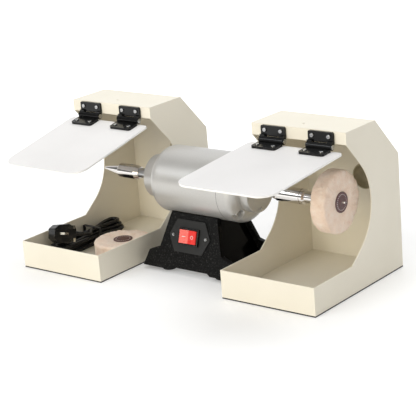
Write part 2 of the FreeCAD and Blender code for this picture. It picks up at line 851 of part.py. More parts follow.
def make_rocker():
    # Two flats meet at the middle; the round ends turn about the pivot inside the frame.
    pivot = rocker_pivot()
    end_r = rocker_width / 2
    rise = end_r * math.tan(math.radians(rocker_tilt))
    top = rocker_middle_height + rise
    half = math.sqrt(end_r ** 2 - top ** 2)
    low_half = end_r * 0.97
    low = -math.sqrt(end_r ** 2 - low_half ** 2)
    points = [V(-low_half, 0, pivot + low), V(-half, 0, pivot + top), V(0, 0, pivot + rocker_middle_height),
              V(half, 0, pivot + top), V(low_half, 0, pivot + low)]
    edges = [
        Part.Arc(points[0], V(-end_r, 0, pivot), points[1]).toShape(),
        Part.LineSegment(points[1], points[2]).toShape(), Part.LineSegment(points[2], points[3]).toShape(),
        Part.Arc(points[3], V(end_r, 0, pivot), points[4]).toShape(),
        Part.LineSegment(points[4], points[0]).toShape(),
    ]
    rocker = Part.Face(Part.Wire(edges)).extrude(V(0, rocker_height, 0))
    rocker.translate(V(0, -rocker_height / 2, 0))
    rocker.rotate(V(0, 0, pivot), Y_AXIS, rocker_tilt)
    return on_face(rocker)


# Electrical parts in the pedestal


def make_capacitor():
    start = V(-capacitor_length / 2, capacitor_y, capacitor_z)
    can = Part.makeCylinder(capacitor_d / 2, capacitor_length, start, X_AXIS)
    return can.makeFillet(2.0, can.Edges[0:1] + can.Edges[2:3])


def floor_z():
    return pedestal_arch_z + bottom_plate_thickness


def make_capacitor_clamp():
    r = capacitor_d / 2 + seat_gap
    start = V(-clamp_width / 2, capacitor_y, capacitor_z)
    band = tube(r + clamp_thickness, r, clamp_width, start, X_AXIS)
    foot = box(-clamp_width / 2, clamp_width / 2, capacitor_y - r - 8, capacitor_y + r, floor_z(),
               floor_z() + clamp_thickness)
    post = box(-clamp_width / 2, clamp_width / 2, capacitor_y - 4, capacitor_y + 4, floor_z(), capacitor_z - r)
    return fuse_all([band, foot, post])


def make_terminal_block():
    x0 = terminal_x - terminal_length / 2
    block = box(x0, x0 + terminal_length, terminal_y - terminal_depth / 2, terminal_y + terminal_depth / 2,
                floor_z(), floor_z() + terminal_height)
    ways = 3
    pitch = terminal_length / ways
    holes = []
    for i in range(ways):
        x = x0 + pitch * (i + 0.5)
        holes.append(Part.makeCylinder(2.2, terminal_depth + 2, V(x, terminal_y - terminal_depth, floor_z() + 5), Y_AXIS))
        holes.append(Part.makeCylinder(2.0, 6.0, V(x, terminal_y, floor_z() + terminal_height - 4), Z_AXIS))
    return block.cut(Part.makeCompound(holes))


def make_inlet():
    # A three-blade appliance inlet, set in the sloped back face.
    flange = centred_box(inlet_flange_width, inlet_flange_height, 0, inlet_flange_thickness)
    upright = [e for e in flange.Edges if e.BoundBox.ZLength > inlet_flange_thickness / 2]
    flange = flange.makeFillet(corner_round, upright)
    floor = inlet_flange_thickness - inlet_body_depth
    body = centred_box(inlet_body_width, inlet_body_height, floor, inlet_flange_thickness)
    socket = centred_box(inlet_socket_width, inlet_socket_height, inlet_flange_thickness - inlet_socket_depth, 10.0)
    inlet = flange.fuse(body).cut(socket)
    blades = []
    for u, v in ((-7.0, -2.0), (0.0, 3.0), (7.0, -2.0)):
        blades.append(box(u - blade_thickness / 2, u + blade_thickness / 2, v - blade_width / 2, v + blade_width / 2,
                          floor - 7.0, inlet_flange_thickness - 2.0))
    return on_back(fuse_all([inlet] + blades))


# Hoods


def mitred(points, thickness):
    # Closed outline of a bent sheet: the outer line, then the same line drawn in by the thickness.
    inner = []
    for i, point in enumerate(points):
        before = (point - points[i - 1]).normalize() if i > 0 else None
        after = (points[i + 1] - point).normalize() if i < len(points) - 1 else None
        first = before or after
        second = after or before
        n1 = V(0, -first.z, first.y)
        n2 = V(0, -second.z, second.y)
        bisector = (n1 + n2).normalize()
        inner.append(point + bisector * (thickness / bisector.dot(n1)))
    return points + inner[::-1]


def tangent_point(centre, radius, outside, upper):
    # Where a line from an outside point touches a circle; angles are in the YZ plane.
    dy = outside[0] - centre[0]
    dz = outside[1] - centre[1]
    distance = math.hypot(dy, dz)
    towards = math.atan2(dz, dy)
    spread = math.acos(radius / distance)
    angle = towards - spread if upper else towards + spread
    return centre[0] + radius * math.cos(angle), centre[1] + radius * math.sin(angle)


def make_side_panel(x, lip_y, front_y):
    back_y = lip_y + lip_to_back
    centre = (lip_y - lip_to_arc, arc_z)
    upper = tangent_point(centre, arc_r, (lip_y, lip_bottom_z), True)
    corner_y = lip_y - lip_to_tray_corner
    lower = tangent_point(centre, arc_r, (corner_y, tray_height), False)

    def at(y, z):
        return V(x, y, z)
    line = [at(corner_y, tray_height), at(front_y, tray_height), at(front_y, strip_thickness),
            at(back_y, strip_thickness), at(back_y, slope_bottom_z), at(lip_y + lip_to_slope, hood_height),
            at(lip_y, hood_height), at(lip_y, lip_bottom_z), at(*upper)]
    edges = [Part.LineSegment(at(*lower), line[0]).toShape()]
    edges += [Part.LineSegment(line[i], line[i + 1]).toShape() for i in range(len(line) - 1)]
    edges.append(Part.Arc(at(*upper), at(centre[0] + arc_r, centre[1]), at(*lower)).toShape())
    return Part.Face(Part.Wire(edges)).extrude(V(hood_sheet, 0, 0))


def bent_sheet(path, left_x):
    # A bent sheet that fills the hood's width between its side panels.
    corners = [V(left_x + hood_sheet, y, z) for y, z in path]
    return plate(mitred(corners, hood_sheet), hood_width - 2 * hood_sheet, X_AXIS)


def make_hood_tray(left_x, lip_y, front_y):
    back_y = lip_y + lip_to_back - hood_sheet
    return bent_sheet([(front_y, tray_height), (front_y, strip_thickness), (back_y, strip_thickness)], left_x)


def make_hood_back(left_x, lip_y):
    back_y = lip_y + lip_to_back
    sheet = box(left_x + hood_sheet, left_x + hood_width - hood_sheet, back_y - hood_sheet, back_y,
                strip_thickness, canopy_foot_z)
    port_hole = Part.makeCylinder(port_bore / 2 + port_wall + seat_gap, 10.0,
                                  V(left_x + port_from_left, back_y - 5.0, port_z), Y_AXIS)
    return sheet.cut(port_hole)


def make_hood_canopy(left_x, lip_y):
    # A low upright edge on the back sheet, the rear slope, the top and the front lip.
    back_y = lip_y + lip_to_back
    shell = bent_sheet([(back_y, canopy_foot_z), (back_y, slope_bottom_z), (lip_y + lip_to_slope, hood_height),
                        (lip_y, hood_height), (lip_y, lip_bottom_z)], left_x)
    top_hole = Part.makeCylinder(top_hole_d / 2, 10.0, V(left_x + top_hole_from_left, lip_y + top_hole_from_lip,
                                                         hood_height - 5.0), Z_AXIS)
    cores = [Part.makeCylinder(hinge_screw_d / 2 + running_gap, 6.0, V(x, lip_y - 2.0, screw_z()), Y_AXIS)
             for x in hinge_screw_places(left_x)]
    return shell.cut(Part.makeCompound([top_hole] + cores))


def make_port(left_x, lip_y):
    back_y = lip_y + lip_to_back
    centre = V(left_x + port_from_left, back_y, port_z)
    start = centre - Y_AXIS * hood_sheet
    spigot = tube(port_bore / 2 + port_wall, port_bore / 2, port_length + hood_sheet, start, Y_AXIS)
    flange = tube(port_flange_d / 2, port_bore / 2 + port_wall - 0.5, 1.5, centre, Y_AXIS)
    return fuse_all([spigot, flange])


def make_strips(left_x, lip_y, front_y):
    back_y = lip_y + lip_to_back
    right_x = left_x + hood_width
    w = strip_width
    t = strip_thickness
    return [
        box(left_x, right_x, front_y, front_y + w, 0, t), box(left_x, right_x, back_y - w, back_y, 0, t),
        box(left_x, left_x + w, front_y + w + 1, back_y - w - 1, 0, t),
        box(right_x - w, right_x, front_y + w + 1, back_y - w - 1, 0, t),
    ]


# Hinges


def hinge_middles(left_x):
    middle = left_x + hood_width / 2
    return [middle - hinge_spacing / 2, middle + hinge_spacing / 2]


def hinge_screw_places(left_x):
    return [m + side * leaf_hole_pitch / 2 for m in hinge_middles(left_x) for side in (-1, 1)]


def screw_z():
    return (upper_leaf_top_z + upper_leaf_bottom_z) / 2 + 1.5


def hinge_axis(lip_y):
    return V(0, lip_y - barrel_forward, barrel_z)


def rounded_plate(x0, x1, y0, y1, z0, z1, corner_edges, r):
    blank = box(x0, x1, y0, y1, z0, z1)
    return blank.makeFillet(r, [e for e in blank.Edges if corner_edges(e.BoundBox)])


def make_upper_leaf(middle, lip_y):
    x0 = middle - leaf_width / 2
    x1 = middle + leaf_width / 2
    y0 = lip_y - leaf_thickness

    def top_corner(b):
        return b.YLength > leaf_thickness / 2 and b.ZMin > upper_leaf_top_z - 1 and b.XLength < 1
    leaf = rounded_plate(x0, x1, y0, lip_y, upper_leaf_bottom_z, upper_leaf_top_z, top_corner, leaf_corner)
    axis = hinge_axis(lip_y)
    pieces = [leaf]
    for start in (x0, x1 - knuckle_width):
        pieces.append(Part.makeCylinder(barrel_d / 2, knuckle_width, V(start, axis.y, axis.z), X_AXIS))
        pieces.append(box(start, start + knuckle_width, axis.y - 1.0, lip_y - 1.0, axis.z, upper_leaf_bottom_z + 3))
    whole = fuse_all(pieces)
    bore = Part.makeCylinder(hinge_pin_d / 2, leaf_width + 2, V(x0 - 1, axis.y, axis.z), X_AXIS)
    holes = [Part.makeCylinder(leaf_hole_d / 2, 10.0, V(middle + s * leaf_hole_pitch / 2, y0 - 1, screw_z()), Y_AXIS)
             for s in (-1, 1)]
    swing = Part.makeCylinder(barrel_d / 2 + body_gap, leaf_width - 2 * knuckle_width,
                              V(x0 + knuckle_width, axis.y, axis.z), X_AXIS)
    return whole.cut(Part.makeCompound([bore, swing] + holes))


def make_hinge_pin(middle, lip_y):
    axis = hinge_axis(lip_y)
    x0 = middle - leaf_width / 2
    pin = Part.makeCylinder(hinge_pin_d / 2 - running_gap, leaf_width, V(x0, axis.y, axis.z), X_AXIS)
    caps = [Part.makeCylinder(pin_head_d / 2, pin_head_thickness, V(x0, axis.y, axis.z), -X_AXIS),
            Part.makeCylinder(pin_head_d / 2, pin_head_thickness, V(x0 + leaf_width, axis.y, axis.z), X_AXIS)]
    return fuse_all([pin] + caps)


def make_lip_screws(left_x, lip_y):
    screws = []
    for x in hinge_screw_places(left_x):
        y = lip_y - leaf_thickness
        head = Part.makeCylinder(hinge_screw_head_d / 2, hinge_screw_head_height, V(x, y, screw_z()), -Y_AXIS)
        head = head.makeFillet(0.9, [head.Edges[0]])
        shank = Part.makeCylinder(hinge_screw_d / 2, leaf_thickness + 6.0, V(x, y, screw_z()), Y_AXIS)
        slot = box(x - 5, x + 5, y - 4, y - hinge_screw_head_height + 0.8, screw_z() - 0.4, screw_z() + 0.4)
        screws.append(fuse_all([head, shank]).cut(slot))
    return screws


# Shields, built level and then tilted about the hinge axis


def shield_top():
    return barrel_z - barrel_d / 2 - body_gap


def tilted(shape, lip_y, tilt):
    turned = shape.copy()
    turned.rotate(hinge_axis(lip_y), X_AXIS, tilt)
    return turned


def lower_screw_places(left_x, lip_y):
    y = lip_y - barrel_forward - lower_leaf_reach + 8.0
    return [V(x, y, shield_top() + leaf_thickness) for x in hinge_screw_places(left_x)]


def make_shield(left_x, lip_y, length, tilt):
    middle = left_x + hood_width / 2
    back = lip_y - shield_back
    z = shield_top() - shield_thickness
    sheet = box(middle - shield_width / 2, middle + shield_width / 2, back - length, back, z, z + shield_thickness)
    upright = [e for e in sheet.Edges if e.BoundBox.ZLength > shield_thickness / 2]
    front = [e for e in upright if e.BoundBox.YMax < back - length / 2]
    sheet = sheet.makeFillet(shield_front_round, front)
    rear = [e for e in sheet.Edges if e.BoundBox.ZLength > shield_thickness / 2 and e.BoundBox.YMin > back - 1]
    sheet = sheet.makeFillet(shield_back_round, rear)
    reach = shield_thickness + leaf_thickness
    cores = [Part.makeCylinder(hinge_screw_d / 2 + running_gap, 3 * reach, V(p.x, p.y, p.z - 2 * reach), Z_AXIS)
             for p in lower_screw_places(left_x, lip_y)]
    return tilted(sheet.cut(Part.makeCompound(cores)), lip_y, tilt)


def make_lower_leaf(left_x, middle, lip_y, tilt):
    axis = hinge_axis(lip_y)
    x0 = middle - leaf_width / 2
    x1 = middle + leaf_width / 2
    z0 = shield_top()
    front = axis.y - lower_leaf_reach
    inner0 = x0 + knuckle_width + 0.3
    inner1 = x1 - knuckle_width - 0.3

    def front_corner(b):
        return b.ZLength > leaf_thickness / 2 and b.YMax < front + 1
    rear = axis.y - barrel_d / 2 - body_gap
    leaf = rounded_plate(x0, x1, front, rear, z0, z0 + leaf_thickness, front_corner, leaf_corner + 1)
    barrel = Part.makeCylinder(barrel_d / 2, inner1 - inner0, V(inner0, axis.y, axis.z), X_AXIS)
    web = box(inner0, inner1, rear - 4, axis.y, z0, z0 + leaf_thickness)
    whole = fuse_all([leaf, barrel, web])
    bore = Part.makeCylinder(hinge_pin_d / 2, leaf_width + 2, V(x0 - 1, axis.y, axis.z), X_AXIS)
    holes = [Part.makeCylinder(leaf_hole_d / 2, 20.0, V(p.x, p.y, p.z - 10), Z_AXIS)
             for p in lower_screw_places(left_x, lip_y) if abs(p.x - middle) < leaf_width / 2]
    return tilted(whole.cut(Part.makeCompound([bore] + holes)), lip_y, tilt)


def make_shield_screws(left_x, lip_y, tilt):
    screws = []
    for p in lower_screw_places(left_x, lip_y):
        head = Part.makeCylinder(hinge_screw_head_d / 2, hinge_screw_head_height, p, Z_AXIS)
        head = head.makeFillet(0.9, [head.Edges[0]])
        depth = leaf_thickness + shield_thickness + 3.0
        shank = Part.makeCylinder(hinge_screw_d / 2, depth, p, -Z_AXIS)
        low = p - Z_AXIS * (leaf_thickness + shield_thickness)
        nut = Part.makeCylinder(hinge_screw_head_d / 2, 2.4, low, -Z_AXIS)
        top = p.z + hinge_screw_head_height
        slot = box(p.x - 5, p.x + 5, p.y - 0.4, p.y + 0.4, top - 0.8, top + 1)
        screws.append(tilted(fuse_all([head, shank, nut]).cut(slot), lip_y, tilt))
    return screws


# Mains lead: a tube of straight runs and tangent arcs


def tray_point(x, y, z):
    # A place given from the left tray's front left corner.
    return V(left_hood_x + x, left_tray_front_y + y, z)


def arc_between(start, tangent, end):
    chord = end - start
    along = chord * (1 / chord.Length)
    side = tangent - along * tangent.dot(along)
    if side.Length < 1e-6:
        return Part.LineSegment(start, end).toShape()
    half_turn = math.atan2(side.Length, tangent.dot(along))
    middle = start + chord * 0.5 + side.normalize() * (chord.Length / 2 * math.tan(half_turn / 2))
    return Part.Arc(start, middle, end).toShape()


def biarc(p0, t0, p1, t1):
    chord = p1 - p0
    total = t0 + t1
    spread = 2 * (1 - t0.dot(t1))
    reach = chord.dot(total)
    if spread < 1e-9:
        d = chord.dot(chord) / (4 * chord.dot(t0))
    else:
        d = (math.sqrt(reach ** 2 + spread * chord.dot(chord)) - reach) / spread
    join = (p0 + p1 + (t0 - t1) * d) * 0.5
    first = arc_between(p0, t0, join)
    back = arc_between(p1, t1 * -1, join)
    return [first, Part.Edge(back)]


def sweep(edges, start, direction, diameter):
    spine = Part.Wire(Part.__sortEdges__(edges))
    ring = Part.Wire(Part.Circle(start, direction, diameter / 2).toShape())
    return spine, spine.makePipeShell([ring], True, False)


def lead_z():
    return strip_thickness + hood_sheet + cord_d / 2 + 0.1


def lead_end():
    # Where the lead meets the hank, in the tray's own place values.
    return hank_x + strand_x(outer_fold_r() + hank_pitch / 4), hank_waist_y + hank_lead_in


def lead_turn_points():
    # Four equal turns bring the lead from the connector's line onto the hank's outer strand.
    x, y = lead_end()
    points = [(x, y)]
    for degrees in (90.0, 67.5, 45.0, 22.5):
        x += lead_run * math.cos(math.radians(degrees))
        y += lead_run * math.sin(math.radians(degrees))
        points.append((x, y))
    return points


def connector_axis():
    y = lead_turn_points()[-1][1]
    return tray_point(connector_x, y, strip_thickness + hood_sheet + connector_height / 2 + 0.2)


def lead_route():
    # From the connector's relief along the tray floor to the outer turn of the hank.
    high = connector_axis().z
    low = lead_z()
    drop = high - low
    tip = connector_x - relief_length
    turns = lead_turn_points()
    last_turn_x, y = turns[-1]
    points = [tray_point(tip, y, high), tray_point(tip - 12.0, y, high),
              tray_point(last_turn_x + lead_run, y, high - drop * 0.3)]
    heights = [high - drop * 0.72, high - drop * 0.95, low, low, low]
    for (x, y), z in zip(reversed(turns), heights):
        points.append(tray_point(x, y, z))
    return points


def rounded_route(points):
    edges = []
    radii = []
    before = points[0]
    for i in range(1, len(points) - 1):
        corner = points[i]
        towards = corner - points[i - 1]
        onward = points[i + 1] - corner
        a = towards.normalize()
        run_in = (points[i] - points[i - 1]).Length
        run_out = (points[i + 1] - points[i]).Length
        b = onward.normalize()
        turn = a.getAngle(b)
        cut = 0.45 * min(run_in, run_out)
        radii.append(cut / math.tan(turn / 2))
        start = corner - a * cut
        end = corner + b * cut
        edges.append(Part.LineSegment(before, start).toShape())
        edges.append(arc_between(start, a, end))
        before = end
    edges.append(Part.LineSegment(before, points[-1]).toShape())
    return edges, radii


def outer_fold_r():
    return hank_fold_r + hank_pitch


def strand_x(r):
    # How far a strand lies from the hank's long axis at the waist.
    return hank_waist_half + (r - hank_fold_r) / hank_pitch * hank_waist_step


def hank_nodes():
    # Points and tangents of the hank, one unbroken line. It spirals in and out over four layers,
    # climbs a layer in the half turn where the spiral turns back, and is drawn in at the waist.
    inner = hank_fold_r
    between = hank_fold_r + hank_pitch / 2
    outer = outer_fold_r()
    folds = [(outer, 0), (between, 0), (inner, 0), (inner, 1), (between, 1), (outer, 1),
             (outer, 2), (between, 2), (inner, 2), (inner, 3)]
    base_z = lead_z()
    near = hank_near_y + outer
    far = hank_far_y - outer
    nodes = []

    def place(x, y, z, direction):
        nodes.append((tray_point(hank_x + x, y, z), direction.normalize()))
    start_x = strand_x(outer + hank_pitch / 4)
    place(start_x, hank_waist_y + hank_lead_in, base_z, V(0, -1, 0))
    place(start_x, hank_waist_y + hank_lead_in - cord_d, base_z, V(0, -1, 0))
    last_r = outer + hank_pitch / 2
    last_z = base_z
    for i, (r, layer) in enumerate(folds):
        at_near = i % 2 == 0
        side = 1 if at_near else -1
        way = -side
        centre_y = near if at_near else far
        z = base_z + layer * hank_pitch
        if i > 0:
            climb = (z - last_z) / (far - near)
            place(side * strand_x((r + last_r) / 2), hank_waist_y, (z + last_z) / 2, V(0, way, climb))
        place(side * r, centre_y, z, V(0, way, 0))
        place(0, centre_y + way * r, z, V(-side, 0, 0))
        place(-side * r, centre_y, z, V(0, -way, 0))
        last_r = r
        last_z = z
    place(strand_x(inner), hank_waist_y, last_z, V(0, -1, 0))
    tip, away = relief_tip()
    nodes.append((tip + away * cord_d, away * -1))
    nodes.append((tip, away * -1))
    return nodes


def make_hank():
    nodes = hank_nodes()
    edges = []
    for i in range(len(nodes) - 1):
        edges += biarc(nodes[i][0], nodes[i][1], nodes[i + 1][0], nodes[i + 1][1])
    return sweep(edges, nodes[0][0], nodes[0][1], cord_d)


def least_self_gap(spine, diameter):
    # Points along the line; the gap is measured between points that are well apart along it.
    step = 1.5
    count = int(spine.Length / step)
    points = spine.discretize(Number=count)
    skip = int(3 * diameter / step)
    least = spine.Length
    for i in range(count):
        for j in range(i + skip, count):
            least = min(least, points[i].distanceToPoint(points[j]))
    return least - diameter


# Plug, built flat with its pins up and its lead along +Y, then turned on edge and set on the hank


def set_plug(shape):
    placed = shape.copy()
    placed.Placement = plug_placement().multiply(placed.Placement)
    return placed


def plug_placement():
    turn = FreeCAD.Rotation(Z_AXIS, -plug_yaw).multiply(FreeCAD.Rotation(X_AXIS, plug_pitch))
    turn = turn.multiply(FreeCAD.Rotation(Y_AXIS, plug_roll))
    return FreeCAD.Placement(tray_point(plug_x, plug_y, plug_z), turn)


def relief_tip():
    # The end of the plug's relief and the way that the lead leaves it.
    placement = plug_placement()
    tip = placement.multVec(V(0, plug_length / 2 - 1.0 + relief_length, 0))
    return tip, placement.Rotation.multVec(Y_AXIS)


def relief(start, direction):
    return Part.makeCone(relief_d / 2, cord_d / 2 + 1.0, relief_length, start, direction)


def make_plug():
    w = plug_width / 2
    h = plug_length / 2
    points = [V(-w * 0.55, h, 0), V(-w, h * 0.35, 0), V(-w * 0.9, -h * 0.6, 0), V(-w * 0.5, -h, 0),
              V(w * 0.5, -h, 0), V(w * 0.9, -h * 0.6, 0), V(w, h * 0.35, 0), V(w * 0.55, h, 0)]
    body = plate(points, plug_depth, -Z_AXIS)
    body.translate(V(0, 0, plug_depth / 2))
    upright = [e for e in body.Edges if e.BoundBox.ZLength > plug_depth / 2]
    body = body.makeFillet(3.0, upright)
    rim = [e for e in body.Edges if e.BoundBox.ZMax < -plug_depth / 2 + 0.1]
    body = body.makeFillet(2.5, rim)
    return set_plug(body.fuse(relief(V(0, h - 1.0, 0), Y_AXIS)))


def make_plug_pins():
    face = plug_depth / 2 + running_gap
    pins = []
    for u, v, width, thickness, length in (
            (0.0, earth_pin_v, pin_thickness, earth_pin_width, earth_pin_length),
            (-live_pin_u, live_pin_v, live_pin_width, pin_thickness, live_pin_length),
            (live_pin_u, live_pin_v, live_pin_width, pin_thickness, live_pin_length)):
        pins.append(set_plug(box(u - width / 2, u + width / 2, v - thickness / 2, v + thickness / 2,
                                 face, face + length)))
    return pins


def make_connector():
    # The end that goes into the motor's inlet: a wide grip, a narrower nose and three slots.
    axis = connector_axis()
    grip_length = connector_length - connector_nose_length
    grip = box(0, grip_length, -connector_width / 2, connector_width / 2, -connector_height / 2, connector_height / 2)
    along = [e for e in grip.Edges if e.BoundBox.XLength > grip_length / 2]
    grip = grip.makeFillet(corner_round, along)
    nose_w = inlet_socket_width / 2 - 0.4
    nose_h = inlet_socket_height / 2 - 0.4
    nose = box(grip_length - 1, connector_length, -nose_w, nose_w, -nose_h, nose_h)
    slots = []
    for y, z in ((-7.0, -2.0), (0.0, 3.0), (7.0, -2.0)):
        slots.append(box(connector_length - 14, connector_length + 1, y - 1.2, y + 1.2, z - 2.3, z + 2.3))
    body = fuse_all([grip, nose, relief(V(1.0, 0, 0), -X_AXIS)]).cut(Part.makeCompound(slots))
    body.translate(axis - X_AXIS * 1.0)
    return body


def make_tie():
    # A flat band round the hank's waist.
    r = strand_x(outer_fold_r() + hank_pitch / 4) + cord_d / 2 + 0.3
    floor = strip_thickness + hood_sheet
    low = floor + 0.05
    high = lead_z() + 3 * hank_pitch + cord_d / 2 + 0.3
    outer = box(hank_x - r - tie_thickness, hank_x + r + tie_thickness, -tie_width / 2, tie_width / 2,
                low, high + tie_thickness)
    inner = box(hank_x - r, hank_x + r, -tie_width, tie_width, low + 0.05, high)
    band = outer.cut(inner)
    band.translate(tray_point(0, hank_waist_y, 0))
    return band


def build():
    os.makedirs("parts", exist_ok=True)
    sides = {
        "left": (left_hood_x, left_lip_y, left_tray_front_y, left_shield_length, left_shield_tilt),
        "right": (hood_inner_x, right_lip_y, right_tray_front_y, right_shield_length, right_shield_tilt),
    }
    strips = []
    backs = []
    ports = []
    upper_leaves = []
    pins = []
    lip_screws = []
    for side, (left_x, lip_y, front_y, length, tilt) in sides.items():
        outer_x = left_x + hood_width - hood_sheet
        panels = {"left": (outer_x, left_x), "right": (left_x, outer_x)}[side]
        save(side + "_hood_tray", [make_hood_tray(left_x, lip_y, front_y)])
        save(side + "_hood_canopy", [make_hood_canopy(left_x, lip_y)])
        save(side + "_hood_inner_panel", [make_side_panel(panels[0], lip_y, front_y)])
        save(side + "_hood_outer_panel", [make_side_panel(panels[1], lip_y, front_y)])
        backs.append(make_hood_back(left_x, lip_y))
        ports.append(make_port(left_x, lip_y))
        middles = hinge_middles(left_x)
        upper_leaves += [make_upper_leaf(m, lip_y) for m in middles]
        save(side + "_hinge_lower_leaves", [make_lower_leaf(left_x, m, lip_y, tilt) for m in middles])
        save(side + "_shield", [make_shield(left_x, lip_y, length, tilt)])
        save(side + "_shield_screws", make_shield_screws(left_x, lip_y, tilt))
        strips += make_strips(left_x, lip_y, front_y)
        pins += [make_hinge_pin(m, lip_y) for m in middles]
        lip_screws += make_lip_screws(left_x, lip_y)
        print(side, "hinge axis", hinge_axis(lip_y) + frame_shift)
    save("hood_backs", backs)
    save("dust_ports", ports)
    save("hinge_upper_leaves", upper_leaves)
    save("hood_edge_strips", strips)
    save("hinge_pins", pins)
    save("hinge_lip_screws", lip_screws)

    save("motor_casing", [make_casing()])
    save("right_end_bell", [make_end_bell()])
    save("end_covers", [make_cover(left_boss_face, -1, left_boss_d), make_cover(right_boss_face, 1, right_boss_d)])
    save("end_cover_screws", make_cover_screws(left_boss_face, -1) + make_cover_screws(right_boss_face, 1))
    save("through_bolts", make_through_bolts())
    save("stator_core", [make_stator_core()])
    save("stator_windings", [make_windings()])
    bearings = [make_bearing(-bearing_x), make_bearing(bearing_x)]
    save("bearing_outer_rings", [b[0] for b in bearings])
    save("bearing_inner_rings", [b[1] for b in bearings])
    save("bearing_balls", bearings[0][2] + bearings[1][2])
    save("wave_washer", [make_wave_washer()])
    save("rotor_core", [make_rotor_core()])
    save("motor_shaft", [make_shaft()])
    save("cooling_fan", [make_fan()])
    save("left_arbor", [make_left_arbor()])
    save("right_arbor", [make_right_arbor()])
    save("arbor_grub_screws", [make_grub(x) for x in grub_places()])
    save("polishing_wheel", [make_wheel_shape()])
    save("wheel_hub_discs", make_hub_discs())
    save("spare_wheel", [lay_down(make_wheel_shape())])
    save("spare_wheel_hub_discs", [lay_down(d) for d in make_hub_discs()])

    save("pedestal", [make_pedestal()])
    save("pedestal_bottom_plate", [make_bottom_plate()])
    save("bottom_plate_screws", make_bottom_screws())
    save("rubber_feet", make_feet())
    save("motor_mounting_screws", make_mounting_screws())
    save("switch_plate", [make_switch_plate()])
    save("switch_plate_screws", make_plate_screws())
    save("switch_housing", [make_switch_housing()])
    save("switch_rocker", [make_rocker()])
    save("run_capacitor", [make_capacitor()])
    save("capacitor_clamp", [make_capacitor_clamp()])
    save("terminal_block", [make_terminal_block()])
    save("mains_inlet", [make_inlet()])

    edges, radii = rounded_route(lead_route())
    start = lead_route()[0]
    spine, lead = sweep(edges, start, lead_route()[1] - start, cord_d)
    save("mains_lead", [lead])
    print("lead radii", [round(r, 1) for r in radii], "length", round(spine.Length, 1))
    print("lead volume ratio", lead.Volume / (math.pi * cord_d ** 2 / 4 * spine.Length))
    spine, hank = make_hank()
    save("cord_hank", [hank])
    print("hank length", round(spine.Length, 1), "volume ratio",
          hank.Volume / (math.pi * cord_d ** 2 / 4 * spine.Length))
    print("hank least gap to itself", round(least_self_gap(spine, cord_d), 2))
    save("mains_plug", [make_plug()])
    save("lead_connector", [make_connector()])
    save("plug_pins", make_plug_pins())
    save("hank_tie", [make_tie()])
    print("plug relief tip and way", relief_tip(), "connector", connector_axis())
    print("frame shift", frame_shift)


build()
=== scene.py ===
import json
import math
import bpy
import bmesh
from mathutils import Matrix, Vector, noise


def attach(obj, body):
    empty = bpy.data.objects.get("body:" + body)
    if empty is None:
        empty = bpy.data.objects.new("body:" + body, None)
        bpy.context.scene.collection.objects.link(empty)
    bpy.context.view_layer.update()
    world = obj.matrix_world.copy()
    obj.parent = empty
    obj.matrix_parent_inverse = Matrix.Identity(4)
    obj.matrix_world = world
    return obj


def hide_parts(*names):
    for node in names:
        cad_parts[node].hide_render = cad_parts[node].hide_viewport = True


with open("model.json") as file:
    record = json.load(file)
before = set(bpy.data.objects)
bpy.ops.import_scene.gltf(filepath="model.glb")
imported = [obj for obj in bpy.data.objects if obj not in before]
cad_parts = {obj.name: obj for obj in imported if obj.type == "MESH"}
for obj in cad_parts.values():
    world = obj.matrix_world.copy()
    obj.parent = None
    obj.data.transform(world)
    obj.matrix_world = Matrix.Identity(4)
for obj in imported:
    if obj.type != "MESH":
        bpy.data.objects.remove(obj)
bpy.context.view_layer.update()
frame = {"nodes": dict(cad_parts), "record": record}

nodes = frame["nodes"]
scene = bpy.context.scene
scene.view_settings.view_transform = "Standard"

# Places, in millimetres as in the part's source

MM = 0.001
SHIFT_Y = 7.951
SPINDLE_Z = 144.1
TRAY_CORNER_X = -290.0
TRAY_CORNER_Y = -153.0


def at(x, y, z):
    """A place in millimetres, from the motor's middle, the spindle and the bench."""
    return Vector((x, y + SHIFT_Y, z)) * MM


def tray(x, y, z):
    """A place in millimetres from the left tray's front left corner."""
    return at(x + TRAY_CORNER_X, y + TRAY_CORNER_Y, z)


# Camera, fitted to the straight edges of the hoods

CAMERA_PLACE = at(1466.87, -1749.77, 805.64)
RIGHT = Vector((0.7795, 0.6214, -0.0788)).normalized()
FORWARD = Vector((-0.6136, 0.7323, -0.2955)).normalized()
UP = RIGHT.cross(FORWARD).normalized()
LENS = 125.05


def add_camera():
    data = bpy.data.cameras.new("camera")
    data.sensor_width = 36.0
    data.lens = LENS
    data.clip_end = 100.0
    camera = bpy.data.objects.new("camera", data)
    scene.collection.objects.link(camera)
    turn = Matrix((RIGHT, UP, -FORWARD)).transposed()
    camera.matrix_world = Matrix.Translation(CAMERA_PLACE) @ turn.to_4x4()
    scene.camera = camera


add_camera()


# Materials


